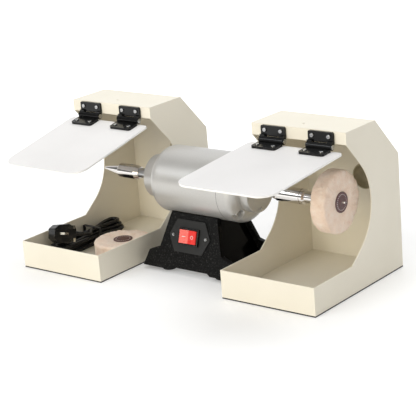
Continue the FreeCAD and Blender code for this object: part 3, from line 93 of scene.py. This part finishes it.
class Nodes:
    """Builds one material's nodes; every pattern is set in the object's own metres."""

    def __init__(self, name):
        self.material = bpy.data.materials.new(name)
        self.material.use_nodes = True
        self.tree = self.material.node_tree
        self.shader = self.tree.nodes["Principled BSDF"]
        self.coords = self.tree.nodes.new("ShaderNodeTexCoord").outputs["Object"]

    def link(self, a, b):
        self.tree.links.new(a, b)

    def noise(self, scale, detail=3.0, stretch=(1, 1, 1), rough=0.5):
        mapping = self.tree.nodes.new("ShaderNodeMapping")
        mapping.inputs["Scale"].default_value = stretch
        self.link(self.coords, mapping.inputs["Vector"])
        texture = self.tree.nodes.new("ShaderNodeTexNoise")
        texture.inputs["Scale"].default_value = scale
        texture.inputs["Detail"].default_value = detail
        texture.inputs["Roughness"].default_value = rough
        self.link(mapping.outputs["Vector"], texture.inputs["Vector"])
        return texture.outputs["Fac"]

    def cells(self, scale):
        texture = self.tree.nodes.new("ShaderNodeTexVoronoi")
        texture.inputs["Scale"].default_value = scale
        self.link(self.coords, texture.inputs["Vector"])
        return texture.outputs["Distance"]

    def ramp(self, value, stops):
        """Each stop has a place and either a colour or one number for all three channels."""
        node = self.tree.nodes.new("ShaderNodeValToRGB")
        elements = node.color_ramp.elements
        while len(elements) < len(stops):
            elements.new(0.5)
        for element, (place, colour) in zip(elements, stops):
            element.position = place
            element.color = (*colour, 1.0) if hasattr(colour, "__len__") else (*grey(colour), 1.0)
        self.link(value, node.inputs["Fac"])
        return node.outputs["Color"]

    def between(self, value, low, high):
        """From low to high over the middle of a noise's range."""
        return self.ramp(value, [(0.3, low), (0.7, high)])

    def math(self, operation, a, b=0.0, c=0.0):
        node = self.tree.nodes.new("ShaderNodeMath")
        node.operation = operation
        for socket, value in zip(node.inputs, (a, b, c)):
            if hasattr(value, "is_linked"):
                self.link(value, socket)
            else:
                socket.default_value = value
        return node.outputs[0]

    def axis(self, name, source="Object"):
        node = self.tree.nodes.new("ShaderNodeSeparateXYZ")
        self.link(self.coords.node.outputs[source], node.inputs[0])
        return node.outputs[name]

    def facing(self, name, least):
        """1 where the surface's own normal points along the named axis, either way."""
        return self.math("GREATER_THAN", self.math("ABSOLUTE", self.axis(name, "Normal")), least)

    def mix(self, value, a, b):
        node = self.tree.nodes.new("ShaderNodeMix")
        node.data_type = "RGBA"
        self.link(value, node.inputs["Factor"])
        for socket, colour in ((node.inputs["A"], a), (node.inputs["B"], b)):
            if hasattr(colour, "is_linked"):
                self.link(colour, socket)
            else:
                socket.default_value = (*colour, 1.0)
        return node.outputs["Result"]

    def bump(self, height, strength, distance):
        node = self.tree.nodes.new("ShaderNodeBump")
        node.inputs["Strength"].default_value = strength
        node.inputs["Distance"].default_value = distance
        self.link(height, node.inputs["Height"])
        self.link(node.outputs["Normal"], self.shader.inputs["Normal"])

    def colour(self, output):
        self.link(output, self.shader.inputs["Base Color"])

    def roughness(self, output):
        self.link(output, self.shader.inputs["Roughness"])

    def set(self, **values):
        for name, value in values.items():
            self.shader.inputs[name.replace("_", " ")].default_value = value
        return self


def grey(value):
    return (value, value, value)


def shade(colour, factor):
    return tuple(c * factor for c in colour)


def painted(name, colour, rough, spread=0.04, grain=900.0, bump=0.05, coat=0.0, shine=0.5):
    n = Nodes(name).set(Coat_Weight=coat, Coat_Roughness=0.12, Specular_IOR_Level=shine)
    broad = n.noise(9.0)
    n.colour(n.between(broad, shade(colour, 1 - spread), shade(colour, 1 + spread)))
    n.roughness(n.between(n.noise(60.0, 4.0), rough - 0.05, rough + 0.05))
    n.bump(n.noise(grain, 2.0), bump, 0.0003)
    return n.material


def metal(name, colour, rough, turned=False):
    """Bare metal; on a turned piece fine tool marks run round the X axis."""
    n = Nodes(name).set(Metallic=1.0)
    marks = n.noise(2500.0, stretch=(1, 0.02, 0.02)) if turned else n.noise(400.0)
    n.colour(n.between(marks, shade(colour, 0.88), colour))
    n.roughness(n.between(marks, rough, rough + 0.08))
    n.bump(marks, 0.08, 0.0001)
    return n.material


def cream_paint():
    n = Nodes("cream_paint").set(Coat_Weight=0.08, Coat_Roughness=0.3)
    n.colour(n.between(n.noise(7.0, 4.0), (0.80, 0.75, 0.63), (0.84, 0.79, 0.675)))
    n.roughness(n.between(n.noise(35.0, 4.0), 0.38, 0.48))
    n.bump(n.noise(700.0, 2.0), 0.06, 0.0003)
    return n.material


def port_painted_shade():
    """Cream paint turned dark olive brown: painted shade for the inside of the ports."""
    n = Nodes("port_painted_shade")
    n.colour(n.between(n.noise(40.0, 5.0), (0.36, 0.31, 0.19), (0.52, 0.45, 0.30)))
    n.roughness(n.between(n.noise(120.0), 0.65, 0.8))
    n.bump(n.noise(700.0), 0.1, 0.0003)
    return n.material


SEAM_X = 65.2
SEAM_HALF_WIDTH = 0.35


def silver_paint():
    """Metallic paint, with a dark line where the casing and the end bell meet."""
    n = Nodes("silver_paint").set(Metallic=0.5, Coat_Weight=0.12, Coat_Roughness=0.3)
    base = n.between(n.noise(1800.0, 2.0), (0.46, 0.45, 0.435), (0.58, 0.57, 0.55))
    from_seam = n.math("ABSOLUTE", n.math("SUBTRACT", n.axis("X"), SEAM_X * MM))
    seam = n.math("LESS_THAN", from_seam, SEAM_HALF_WIDTH * MM)
    n.colour(n.mix(seam, base, grey(0.10)))
    n.roughness(n.between(n.noise(25.0, 4.0), 0.30, 0.38))
    n.bump(n.noise(500.0), 0.10, 0.0003)
    return n.material


def wrinkle_paint():
    """Speckled on the front and back, smooth and glossy on the recessed sides."""
    n = Nodes("wrinkle_paint").set(Specular_IOR_Level=0.10)
    cells = n.cells(650.0)
    grains = n.noise(430.0, 4.0, rough=0.75)
    height = n.math("MULTIPLY_ADD", cells, 0.6, grains)
    speckle = n.ramp(grains, [(0.50, 0.003), (0.60, 0.014), (0.72, (0.10, 0.10, 0.097))])
    side = n.facing("X", 0.6)
    n.colour(n.mix(side, speckle, grey(0.002)))
    n.roughness(n.mix(side, n.between(grains, 0.40, 0.60), grey(0.16)))
    plain = n.math("SUBTRACT", 1.0, side)
    n.bump(n.math("MULTIPLY", height, plain), 0.45, 0.0006)
    return n.material


def frosted_acrylic():
    """Milky sheet whose cut edges are clearer (less rough) than its faces, and painted near white as a
    painted highlight.
    """
    n = Nodes("frosted_acrylic").set(Transmission_Weight=0.10, IOR=1.49)
    face = n.between(n.noise(6.0), (0.76, 0.745, 0.74), (0.83, 0.815, 0.81))
    flat = n.facing("Z", 0.6)
    # Painted highlight: the cut edges, found by their normals, are painted near white.
    n.colour(n.mix(flat, (0.97, 0.96, 0.94), face))
    n.roughness(n.mix(flat, grey(0.15), n.between(n.noise(500.0), 0.42, 0.54)))
    n.bump(n.noise(1500.0, 2.0), 0.05, 0.0002)
    return n.material


def muslin():
    n = Nodes("muslin").set(Sheen_Weight=0.35, Sheen_Roughness=0.5, Specular_IOR_Level=0.2)
    across = n.noise(1600.0, 2.0, (0.15, 1, 1))
    along = n.noise(1600.0, 2.0, (1, 0.15, 0.15))
    weave = n.math("ADD", across, along)
    broad = n.noise(70.0, 5.0, rough=0.6)
    shadowed, plain, lit = (0.78, 0.54, 0.40), (0.93, 0.73, 0.60), (0.98, 0.87, 0.78)
    base = n.ramp(broad, [(0.32, shadowed), (0.50, plain), (0.70, lit)])
    n.colour(n.mix(n.ramp(weave, [(0.75, 0.0), (1.3, 0.7)]), base, (0.92, 0.74, 0.60)))
    n.roughness(n.ramp(weave, [(0.6, 0.80), (1.3, 0.95)]))
    n.bump(n.math("MULTIPLY_ADD", broad, 6.0, weave), 0.6, 0.0008)
    return n.material


def disc_fibre():
    n = Nodes("disc_fibre").set(Coat_Weight=0.25, Coat_Roughness=0.25)
    n.colour(n.between(n.noise(300.0, 4.0), (0.040, 0.010, 0.011), (0.105, 0.022, 0.021)))
    n.roughness(n.between(n.noise(200.0), 0.35, 0.5))
    n.bump(n.noise(700.0), 0.2, 0.0003)
    return n.material


PAINTED = {
    "black_rubber": dict(colour=grey(0.018), rough=0.7, spread=0.2, grain=1500.0, bump=0.15, shine=0.25),
    "black_enamel": dict(colour=grey(0.006), rough=0.16, spread=0.2, grain=500.0, bump=0.06, shine=0.25),
    "black_plastic": dict(colour=grey(0.020), rough=0.5, spread=0.15, grain=1400.0, bump=0.12, shine=0.25),
    "black_gloss_plastic": dict(colour=grey(0.010), rough=0.24, spread=0.15, grain=600.0, shine=0.4),
    "red_plastic": dict(colour=(0.78, 0.035, 0.028), rough=0.28, spread=0.06, grain=700.0, bump=0.04,
                        coat=0.3),
    "white_plastic": dict(colour=(0.75, 0.75, 0.72), rough=0.4),
    "cord_jacket": dict(colour=grey(0.009), rough=0.34, spread=0.2, grain=1200.0, bump=0.08, shine=0.35),
    "white_mark": dict(colour=(0.8, 0.72, 0.70), rough=0.4, spread=0.03),
}
METALS = {
    "plated_steel": dict(colour=(0.66, 0.66, 0.65), rough=0.22),
    "steel": dict(colour=grey(0.5), rough=0.3, turned=True),
    "polished_steel": dict(colour=(0.78, 0.75, 0.72), rough=0.06, turned=True),
    "dark_screw": dict(colour=grey(0.42), rough=0.14),
    "laminations": dict(colour=(0.2, 0.2, 0.21), rough=0.5),
    "copper_wire": dict(colour=(0.6, 0.28, 0.12), rough=0.35),
    "galvanised_sheet": dict(colour=(0.45, 0.46, 0.47), rough=0.4),
    "can_aluminium": dict(colour=grey(0.7), rough=0.3),
    "pin_brass": dict(colour=(0.78, 0.74, 0.62), rough=0.18),
}
MATERIALS = {
    "cream_paint": cream_paint(),
    "frosted_acrylic": frosted_acrylic(),
    "silver_paint": silver_paint(),
    "muslin": muslin(),
    "stitched_disc": disc_fibre(),
    "black_wrinkle": wrinkle_paint(),
}
for name, look in PAINTED.items():
    MATERIALS[name] = painted(name, **look)
for name, look in METALS.items():
    MATERIALS[name] = metal(name, **look)

for entry in frame["record"]["subparts"]:
    node = nodes[entry["node"]]
    node.data.materials.clear()
    node.data.materials.append(MATERIALS[entry["material_slot"]])
# The ports' inside is given the painted shade of a dark tube.
nodes["dust_ports"].data.materials[0] = port_painted_shade()
for name in ("hinge_lip_screws", "left_shield_screws", "right_shield_screws"):
    nodes[name].data.materials[0] = MATERIALS["dark_screw"]


# Mesh helpers


def piece(name, verts, faces, body, slot, smooth=True, material=None):
    mesh = bpy.data.meshes.new(name)
    mesh.from_pydata(verts, [], faces)
    mesh.validate()
    bm = bmesh.new()
    bm.from_mesh(mesh)
    bmesh.ops.recalc_face_normals(bm, faces=bm.faces)
    bm.to_mesh(mesh)
    bm.free()
    for polygon in mesh.polygons:
        polygon.use_smooth = smooth
    mesh.materials.append(MATERIALS[material or slot])
    obj = bpy.data.objects.new(name, mesh)
    scene.collection.objects.link(obj)
    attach(obj, body)
    return obj


def join_parts(parts):
    """Several (verts, faces) pairs as one."""
    verts, faces = [], []
    for part_verts, part_faces in parts:
        start = len(verts)
        verts.extend(part_verts)
        faces.extend([tuple(start + i for i in face) for face in part_faces])
    return verts, faces


def turned_part(rings, count, move):
    """A closed turned shape; rings are (along, radius), move gives the place of along, angle and radius."""
    verts, faces = [], []
    for along, radius in rings:
        for j in range(count):
            verts.append(move(along, 2 * math.pi * j / count, radius))
    for i in range(len(rings) - 1):
        for j in range(count):
            k = (j + 1) % count
            faces.append((i * count + j, i * count + k, (i + 1) * count + k, (i + 1) * count + j))
    faces.append(tuple(range(count)))
    faces.append(tuple(reversed(range((len(rings) - 1) * count, len(rings) * count))))
    return verts, faces


def ring_part(matrix, outer, inner, height, count=48):
    """A flat ring that stands on the matrix's plane."""
    verts, faces = [], []
    for z, r in ((0, inner), (0, outer), (height, outer), (height, inner)):
        for k in range(count):
            a = 2 * math.pi * k / count
            verts.append(matrix @ Vector((r * math.cos(a), r * math.sin(a), z)))
    for i in range(4):
        for k in range(count):
            m = (k + 1) % count
            j = (i + 1) % 4
            faces.append((i * count + k, i * count + m, j * count + m, j * count + k))
    return verts, faces


def frame_of(origin, x, y, z):
    turn = Matrix((x, y, z)).transposed().to_4x4()
    return Matrix.Translation(origin) @ turn


def rounded_box(matrix, low, high, radius, steps):
    """A box with rounded edges between two corners, placed by a matrix."""
    bm = bmesh.new()
    bmesh.ops.create_cube(bm, size=1.0)
    size = [h - l for l, h in zip(low, high)]
    middle = [(h + l) / 2 for l, h in zip(low, high)]
    for vert in bm.verts:
        vert.co = Vector([m + c * s for m, c, s in zip(middle, vert.co, size)])
    bmesh.ops.bevel(bm, geom=bm.edges[:], offset=radius, segments=steps, profile=0.5, affect="EDGES")
    verts = [matrix @ v.co for v in bm.verts]
    index = {v: i for i, v in enumerate(bm.verts)}
    faces = [tuple(index[v] for v in f.verts) for f in bm.faces]
    bm.free()
    return verts, faces


# Mains lead and hank: one line from the connector to the plug, placed in the left tray

CORD_D = 6.4 * MM
HANK_PITCH = 6.95
HANK_FOLD_R = 9.5
HANK_X = 24.5
HANK_NEAR_Y = 50.0
HANK_FAR_Y = 217.0
HANK_LOW_Z = 6.8
FOLD_ENTRY = 9.0
FOLD_HALF_STEP = 15.0
WAIST_Y = 147.0
WAIST_HALF = 4.0
WAIST_STEP = 9.2
WAIST_REACH = 14.0
WAIST_RISE = 0.14
CONNECTOR_TIP = tray(121.0, 197.71, 13.2)
RELIEF_TIP = tray(39.98, 104.43, 33.29)
RELIEF_AWAY = Vector((0.2337, 0.9372, -0.2588)).normalized()


def waist_x(r):
    """How far a strand lies from the hank's long axis at the waist."""
    return WAIST_HALF + (r - HANK_FOLD_R) / HANK_PITCH * WAIST_STEP


def layer_z(layer):
    return HANK_LOW_Z + layer * HANK_PITCH


def waist_points(side, last, new):
    """Two points of the strand that crosses the waist from one fold's (radius, layer) to the next."""
    x = side * waist_x((new[0] + last[0]) / 2)
    low, high = layer_z(last[1]), layer_z(new[1])
    points = []
    for k in (-1, 1):
        points.append((x, WAIST_Y - side * k * WAIST_REACH, (high + low) / 2 + (high - low) * k * WAIST_RISE))
    return points


def fold_points(side, centre, r, z):
    """Half a turn, from one side of the hank to the other."""
    points = [(side * r, centre + side * FOLD_ENTRY, z)]
    wide = r / math.cos(math.radians(FOLD_HALF_STEP))
    for k in range(6):
        angle = math.radians(FOLD_HALF_STEP + 2 * FOLD_HALF_STEP * k)
        points.append((side * wide * math.cos(angle), centre - side * wide * math.sin(angle), z))
    points.append((-side * r, centre + side * FOLD_ENTRY, z))
    return points


def hank_points():
    """The turns: a spiral in and out over four layers, drawn in at the waist."""
    inner, between, outer = HANK_FOLD_R, HANK_FOLD_R + HANK_PITCH / 2, HANK_FOLD_R + HANK_PITCH
    folds = [(outer, 0), (between, 0), (inner, 0), (inner, 1), (between, 1), (outer, 1),
             (outer, 2), (between, 2), (inner, 2), (inner, 3)]
    near, far = HANK_NEAR_Y + outer, HANK_FAR_Y - outer
    points = []
    for i, (r, layer) in enumerate(folds):
        side, centre = (1, near) if i % 2 == 0 else (-1, far)
        if i:
            points += waist_points(side, folds[i - 1], folds[i])
        points += fold_points(side, centre, r, layer_z(layer))
    return [tray(HANK_X + x, y, z) for x, y, z in points]


def cord_points():
    """From the connector along the tray's floor, through the turns, and over them to the plug's relief."""
    lead = [
        (109.0, 197.71, 13.2), (86.71, 197.71, 11.28), (71.21, 197.71, 8.59), (56.89, 191.78, 7.12),
        (45.93, 180.82, 6.8), (40.0, 166.5, 6.8), (40.0, 144.5, 6.8),
    ]
    over = [(28.5, 161.0, 27.65), (28.5, 138.0, 27.65)]
    points = [CONNECTOR_TIP] + [tray(*p) for p in lead] + hank_points() + [tray(*p) for p in over]
    return points + [RELIEF_TIP + RELIEF_AWAY * d * MM for d in (20.0, 8.0, 0.0)]


def nurbs(name, points, bevel):
    curve = bpy.data.curves.new(name, "CURVE")
    curve.dimensions = "3D"
    curve.bevel_depth = bevel
    curve.bevel_resolution = 5
    curve.resolution_u = 5
    spline = curve.splines.new("NURBS")
    spline.points.add(len(points) - 1)
    for target, point in zip(spline.points, points):
        target.co = (*point, 1.0)
    spline.order_u = 3
    spline.use_endpoint_u = True
    obj = bpy.data.objects.new(name, curve)
    scene.collection.objects.link(obj)
    return obj


mains_cord = nurbs("mains_cord", cord_points(), CORD_D / 2)
mains_cord.data.materials.append(MATERIALS["cord_jacket"])
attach(mains_cord, "lathe")
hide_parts("mains_lead", "cord_hank")


# Muslin wheels: stitched discs of cloth with a soft folded rim, in millimetres from the wheel's left face

TAPER_START = 236.0
TAPER_LENGTH = 37.0
TAPER_ROOT_D = 18.0
TAPER_TIP_D = 3.0
WHEEL_LEFT = 240.9
WHEEL_WIDTH = 28.0
WHEEL_R = 50.8
WHEEL_MIDDLE = WHEEL_WIDTH / 2
RIM_ROUND = 5.0
FOLD_ROOM = 0.4
CLOTH_INSET = 0.15
DISH = 2.0
DISH_FLAT_R = 19.0
DISH_SLOPE = 10.0
BORE_RIM_R = 12.5
HUB_DISC_R = 16.5
HUB_DISC_FACE = 1.15
STITCHES = 24
STITCH_RING_R = 12.4
HUB_DISC_SIDES = ((DISH, -1), (WHEEL_WIDTH - DISH, 1))


def clamp(value):
    return max(0.0, min(1.0, value))


def taper_r(x):
    return (TAPER_ROOT_D + (TAPER_TIP_D - TAPER_ROOT_D) * (x - TAPER_START) / TAPER_LENGTH) / 2


def wheel_profile():
    """Rings (x, radius) from the hub's left side over the rim to its right side."""
    side = [(DISH + 0.05, taper_r(WHEEL_LEFT + DISH) + 0.4)]
    for r in (14.0, 18.0, 21.0, 24.0, 27.0, 30.0, 33.0, 36.0, 39.0, 42.0, 44.5):
        side.append((DISH * (1 - clamp((r - DISH_FLAT_R) / DISH_SLOPE)) + CLOTH_INSET, r))
    for k in range(1, 7):
        angle = math.radians(15 * k)
        x = CLOTH_INSET + RIM_ROUND * (1 - math.cos(angle))
        side.append((x, WHEEL_R - RIM_ROUND + (RIM_ROUND - FOLD_ROOM) * math.sin(angle)))
    start = CLOTH_INSET + RIM_ROUND
    rim = [(start + (WHEEL_WIDTH - 2 * start) * k / 12.0, WHEEL_R - FOLD_ROOM) for k in range(1, 12)]
    return side + rim + [(WHEEL_WIDTH - x, r) for x, r in reversed(side)]


def crease_depth(value, width):
    """Deepest where the noise crosses zero, and nothing past the crease's width."""
    return max(0.0, width - abs(value))


def wheel_mesh(seed):
    """The cloth: folds, creases and layer edges on the rim, ripples and puckers on the sides."""
    offset = Vector((seed * 7.3, seed * 3.1, seed * 5.7))

    def move(x, angle, r):
        y, z = math.cos(angle), math.sin(angle)
        if r <= BORE_RIM_R:
            return Vector((x, r * y, r * z))
        edge = clamp((r - 20.0) / 22.0)
        on_rim = clamp((r - 44.0) / 6.0)
        fold = noise.noise(Vector((x * 0.07, 6.0 * y, 6.0 * z)) + offset)
        crease = noise.noise(Vector((x * 0.09, 13.0 * y, 13.0 * z)) + offset * 2)
        layers = noise.noise(Vector((x * 0.9, 2.2 * y, 2.2 * z)) + offset * 3)
        ripple = noise.noise(Vector((4.0 * y, 4.0 * z, r * 0.10)) + offset * 4)
        pucker = noise.noise(Vector((8.0 * y, 8.0 * z, r * 0.03)) + offset * 5)
        r_out = r + on_rim * (0.5 * fold - 3.4 * crease_depth(crease, 0.20) + 0.5 * layers - 0.3)
        side = -1.0 if x < WHEEL_MIDDLE else 1.0
        flat = 1.0 - clamp((min(x, WHEEL_WIDTH - x) - 2.5) / 3.0)
        x_out = x + side * flat * edge * (ripple - 4.0 * crease_depth(pucker, 0.22) - 0.2)
        return Vector((x_out, r_out * y, r_out * z))

    return turned_part(wheel_profile(), 240, move)


def disc_mesh(foot, outward):
    """A hub disc with a raised rim, standing outward from its foot on the cloth."""
    inner = taper_r(WHEEL_LEFT + foot) + (0.3 if outward > 0 else 0.5)
    profile = [
        (0.0, inner), (0.0, HUB_DISC_R), (0.9, HUB_DISC_R), (1.25, 16.3), (1.4, 15.9), (1.4, 15.0),
        (HUB_DISC_FACE, 14.6), (HUB_DISC_FACE, 8.2), (1.5, 7.8), (1.5, inner),
    ]
    rings = [(foot + outward * d, r) for d, r in profile]
    return turned_part(rings, 96, lambda x, a, r: Vector((x, r * math.cos(a), r * math.sin(a))))


def stitch_mesh(foot, outward):
    """A ring of short raised stitches on the disc's face."""
    parts = []
    for k in range(STITCHES):
        angle = 2 * math.pi * k / STITCHES
        radial = Vector((0, math.cos(angle), math.sin(angle)))
        along = Vector((0, -math.sin(angle), math.cos(angle)))
        middle = Vector((foot + outward * HUB_DISC_FACE, 0, 0)) + radial * STITCH_RING_R
        matrix = frame_of(middle, Vector((outward, 0, 0)), radial, along)
        parts.append(rounded_box(matrix, (-0.1, -0.5, -0.6), (0.3, 0.5, 0.6), 0.15, 2))
    return join_parts(parts)


def place_all(verts, matrix):
    return [matrix @ (v * MM) for v in verts]


def add_wheel(prefix, matrix, body, seed, wheel_node, disc_node):
    verts, faces = wheel_mesh(seed)
    cloth = piece(prefix + "_cloth", place_all(verts, matrix), faces, body, "muslin")
    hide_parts(wheel_node)
    verts, faces = join_parts([disc_mesh(*side) for side in HUB_DISC_SIDES])
    discs = piece(prefix + "_discs", place_all(verts, matrix), faces, body, "stitched_disc", smooth=False)
    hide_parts(disc_node)
    bevel = discs.modifiers.new("round", "BEVEL")
    bevel.width = 0.1 * MM
    bevel.segments = 2
    verts, faces = join_parts([stitch_mesh(*side) for side in HUB_DISC_SIDES])
    piece(prefix + "_stitches", place_all(verts, matrix), faces, body, "stitched_disc", material="white_mark")


SPARE_PLACE = at(-170.6, -30.0, 3.5)
on_arbor = Matrix.Translation(at(WHEEL_LEFT, 0, SPINDLE_Z))
in_tray = Matrix.Translation(SPARE_PLACE) @ Matrix.Rotation(math.radians(-90), 4, "Y")
add_wheel("wheel", on_arbor, "rotor", 1, "polishing_wheel", "wheel_hub_discs")
add_wheel("spare", in_tray, "lathe", 2, "spare_wheel", "spare_wheel_hub_discs")


# Switch marks: a bar and a ring on the rocker, which is pressed down at its right half

FACE_FOOT_Y = 67.2
FACE_SLOPE = 0.3148
FACE_ANGLE = math.atan(FACE_SLOPE)
FACE_OUT = Vector((0, -math.cos(FACE_ANGLE), math.sin(FACE_ANGLE)))
FACE_UP = Vector((0, math.sin(FACE_ANGLE), math.cos(FACE_ANGLE)))
SWITCH_X = -2.5
SWITCH_Z = 63.0
SWITCH = at(SWITCH_X, -(FACE_FOOT_Y - FACE_SLOPE * SWITCH_Z), SWITCH_Z)
ROCKER_HALF_WIDTH = 17.5
ROCKER_MIDDLE_HEIGHT = 5.6
ROCKER_PIVOT_HEIGHT = 1.5
ROCKER_TILT = math.radians(7.0)
MARK_HEIGHT = 0.15
BAR_HALF_LENGTH = 3.0
BAR_HALF_WIDTH = 0.55
RING_OUTER_R = 2.9
RING_INNER_R = 2.1


def rocker_matrix():
    flat = frame_of(SWITCH, Vector((1, 0, 0)), FACE_UP, FACE_OUT)
    turn = Matrix.Translation((0, 0, ROCKER_PIVOT_HEIGHT * MM)) @ Matrix.Rotation(ROCKER_TILT, 4, "Y")
    return flat @ turn


def half_plane(side):
    """The flat of one half of the rocker, with its origin at that half's middle."""
    rise = ROCKER_HALF_WIDTH * math.tan(ROCKER_TILT)
    top = ROCKER_MIDDLE_HEIGHT + rise
    half = math.sqrt(ROCKER_HALF_WIDTH ** 2 - top ** 2)
    slope = math.atan2(rise, half)
    origin = Vector((side * half * 0.5, 0, ROCKER_MIDDLE_HEIGHT + rise * 0.5)) * MM
    x = Vector((math.cos(slope), 0, side * math.sin(slope)))
    z = Vector((-side * math.sin(slope), 0, math.cos(slope)))
    return rocker_matrix() @ frame_of(origin, x, Vector((0, 1, 0)), z)


def rocker_marks():
    high = (BAR_HALF_LENGTH * MM, BAR_HALF_WIDTH * MM, MARK_HEIGHT * MM)
    low = (-high[0], -high[1], 0.0)
    bar = rounded_box(half_plane(-1), low, high, 0.07 * MM, 1)
    ring = ring_part(half_plane(1), RING_OUTER_R * MM, RING_INNER_R * MM, MARK_HEIGHT * MM)
    return join_parts([bar, ring])


piece("rocker_marks", *rocker_marks(), "rocker", "red_plastic", material="white_mark")


# World, floor and lamps, in metres

FLOOR_HALF = 30.0
FLOOR_DROP = 0.2 * MM


def largest(tree, first, *others):
    for other in others:
        node = tree.nodes.new("ShaderNodeMath")
        node.operation = "MAXIMUM"
        tree.links.new(first, node.inputs[0])
        tree.links.new(other, node.inputs[1])
        first = node.outputs[0]
    return first


def ray_kinds(tree, *kinds):
    """1 for the named kinds of ray."""
    path = tree.nodes.new("ShaderNodeLightPath")
    return largest(tree, *[path.outputs["Is %s Ray" % kind] for kind in kinds])


def map_range(tree, value, low, high, at_low, at_high):
    node = tree.nodes.new("ShaderNodeMapRange")
    for name, number in (("From Min", low), ("From Max", high), ("To Min", at_low), ("To Max", at_high)):
        node.inputs[name].default_value = number
    tree.links.new(value, node.inputs["Value"])
    return node.outputs["Result"]


def make_world():
    """A camera sees white all round; metal sees the white behind the object and a dim room before it."""
    world = bpy.data.worlds.new("studio")
    world.use_nodes = True
    scene.world = world
    tree = world.node_tree
    lighting = tree.nodes["Background"]
    lighting.inputs["Color"].default_value = (1.0, 0.99, 0.97, 1.0)
    lighting.inputs["Strength"].default_value = 0.64
    direction = tree.nodes.new("ShaderNodeSeparateXYZ")
    tree.links.new(tree.nodes.new("ShaderNodeTexCoord").outputs["Generated"], direction.inputs[0])
    room = map_range(tree, direction.outputs["Y"], -0.25, 0.35, 0.18, 1.0)
    white = tree.nodes.new("ShaderNodeBackground")
    white.inputs["Color"].default_value = (1, 1, 1, 1)
    tree.links.new(largest(tree, room, ray_kinds(tree, "Camera", "Transmission")), white.inputs["Strength"])
    mix = tree.nodes.new("ShaderNodeMixShader")
    tree.links.new(ray_kinds(tree, "Camera", "Transmission", "Glossy"), mix.inputs["Fac"])
    tree.links.new(lighting.outputs[0], mix.inputs[1])
    tree.links.new(white.outputs[0], mix.inputs[2])
    tree.links.new(mix.outputs[0], tree.nodes["World Output"].inputs["Surface"])


def floor_paint():
    """White floor that glows a little more with the distance, and keeps the object's shadow."""
    material = bpy.data.materials.new("floor")
    material.use_nodes = True
    tree = material.node_tree
    principled = tree.nodes["Principled BSDF"]
    principled.inputs["Base Color"].default_value = (0.80, 0.80, 0.80, 1)
    principled.inputs["Roughness"].default_value = 0.55
    glow = tree.nodes.new("ShaderNodeEmission")
    tree.links.new(ray_kinds(tree, "Camera", "Transmission", "Glossy"), glow.inputs["Strength"])
    away = tree.nodes.new("ShaderNodeVectorMath")
    away.operation = "LENGTH"
    tree.links.new(tree.nodes.new("ShaderNodeTexCoord").outputs["Object"], away.inputs[0])
    tree.links.new(map_range(tree, away.outputs["Value"], 0.35, 1.4, 0.20, 0.75), glow.inputs["Color"])
    add = tree.nodes.new("ShaderNodeAddShader")
    tree.links.new(principled.outputs[0], add.inputs[0])
    tree.links.new(glow.outputs[0], add.inputs[1])
    tree.links.new(add.outputs[0], tree.nodes["Material Output"].inputs["Surface"])
    return material


def add_floor():
    s = FLOOR_HALF
    mesh = bpy.data.meshes.new("floor")
    mesh.from_pydata([(-s, -s, 0), (s, -s, 0), (s, s, 0), (-s, s, 0)], [], [(0, 1, 2, 3)])
    mesh.materials.append(floor_paint())
    floor = bpy.data.objects.new("floor", mesh)
    floor.location.z = -FLOOR_DROP
    scene.collection.objects.link(floor)


def lamp(name, place, size, power, colour):
    """An area lamp that looks at the middle of the object."""
    data = bpy.data.lights.new(name, "AREA")
    data.shape = "RECTANGLE"
    data.size, data.size_y = size
    data.energy = power
    data.color = colour
    obj = bpy.data.objects.new(name, data)
    scene.collection.objects.link(obj)
    direction = Vector((0, 0, 0.1)) - Vector(place)
    obj.matrix_world = Matrix.Translation(place) @ direction.to_track_quat("-Z", "Y").to_matrix().to_4x4()


make_world()
add_floor()
lamp("key", (-1.2, -2.6, 2.0), (1.8, 1.4), 34.0, (0.92, 0.96, 1.0))
lamp("fill", (0.2, -3.1, 0.8), (2.0, 0.9), 30.0, (1.0, 0.91, 0.72))
lamp("top", (0.2, 0.5, 2.8), (2.2, 1.8), 31.0, (0.93, 0.965, 1.0))
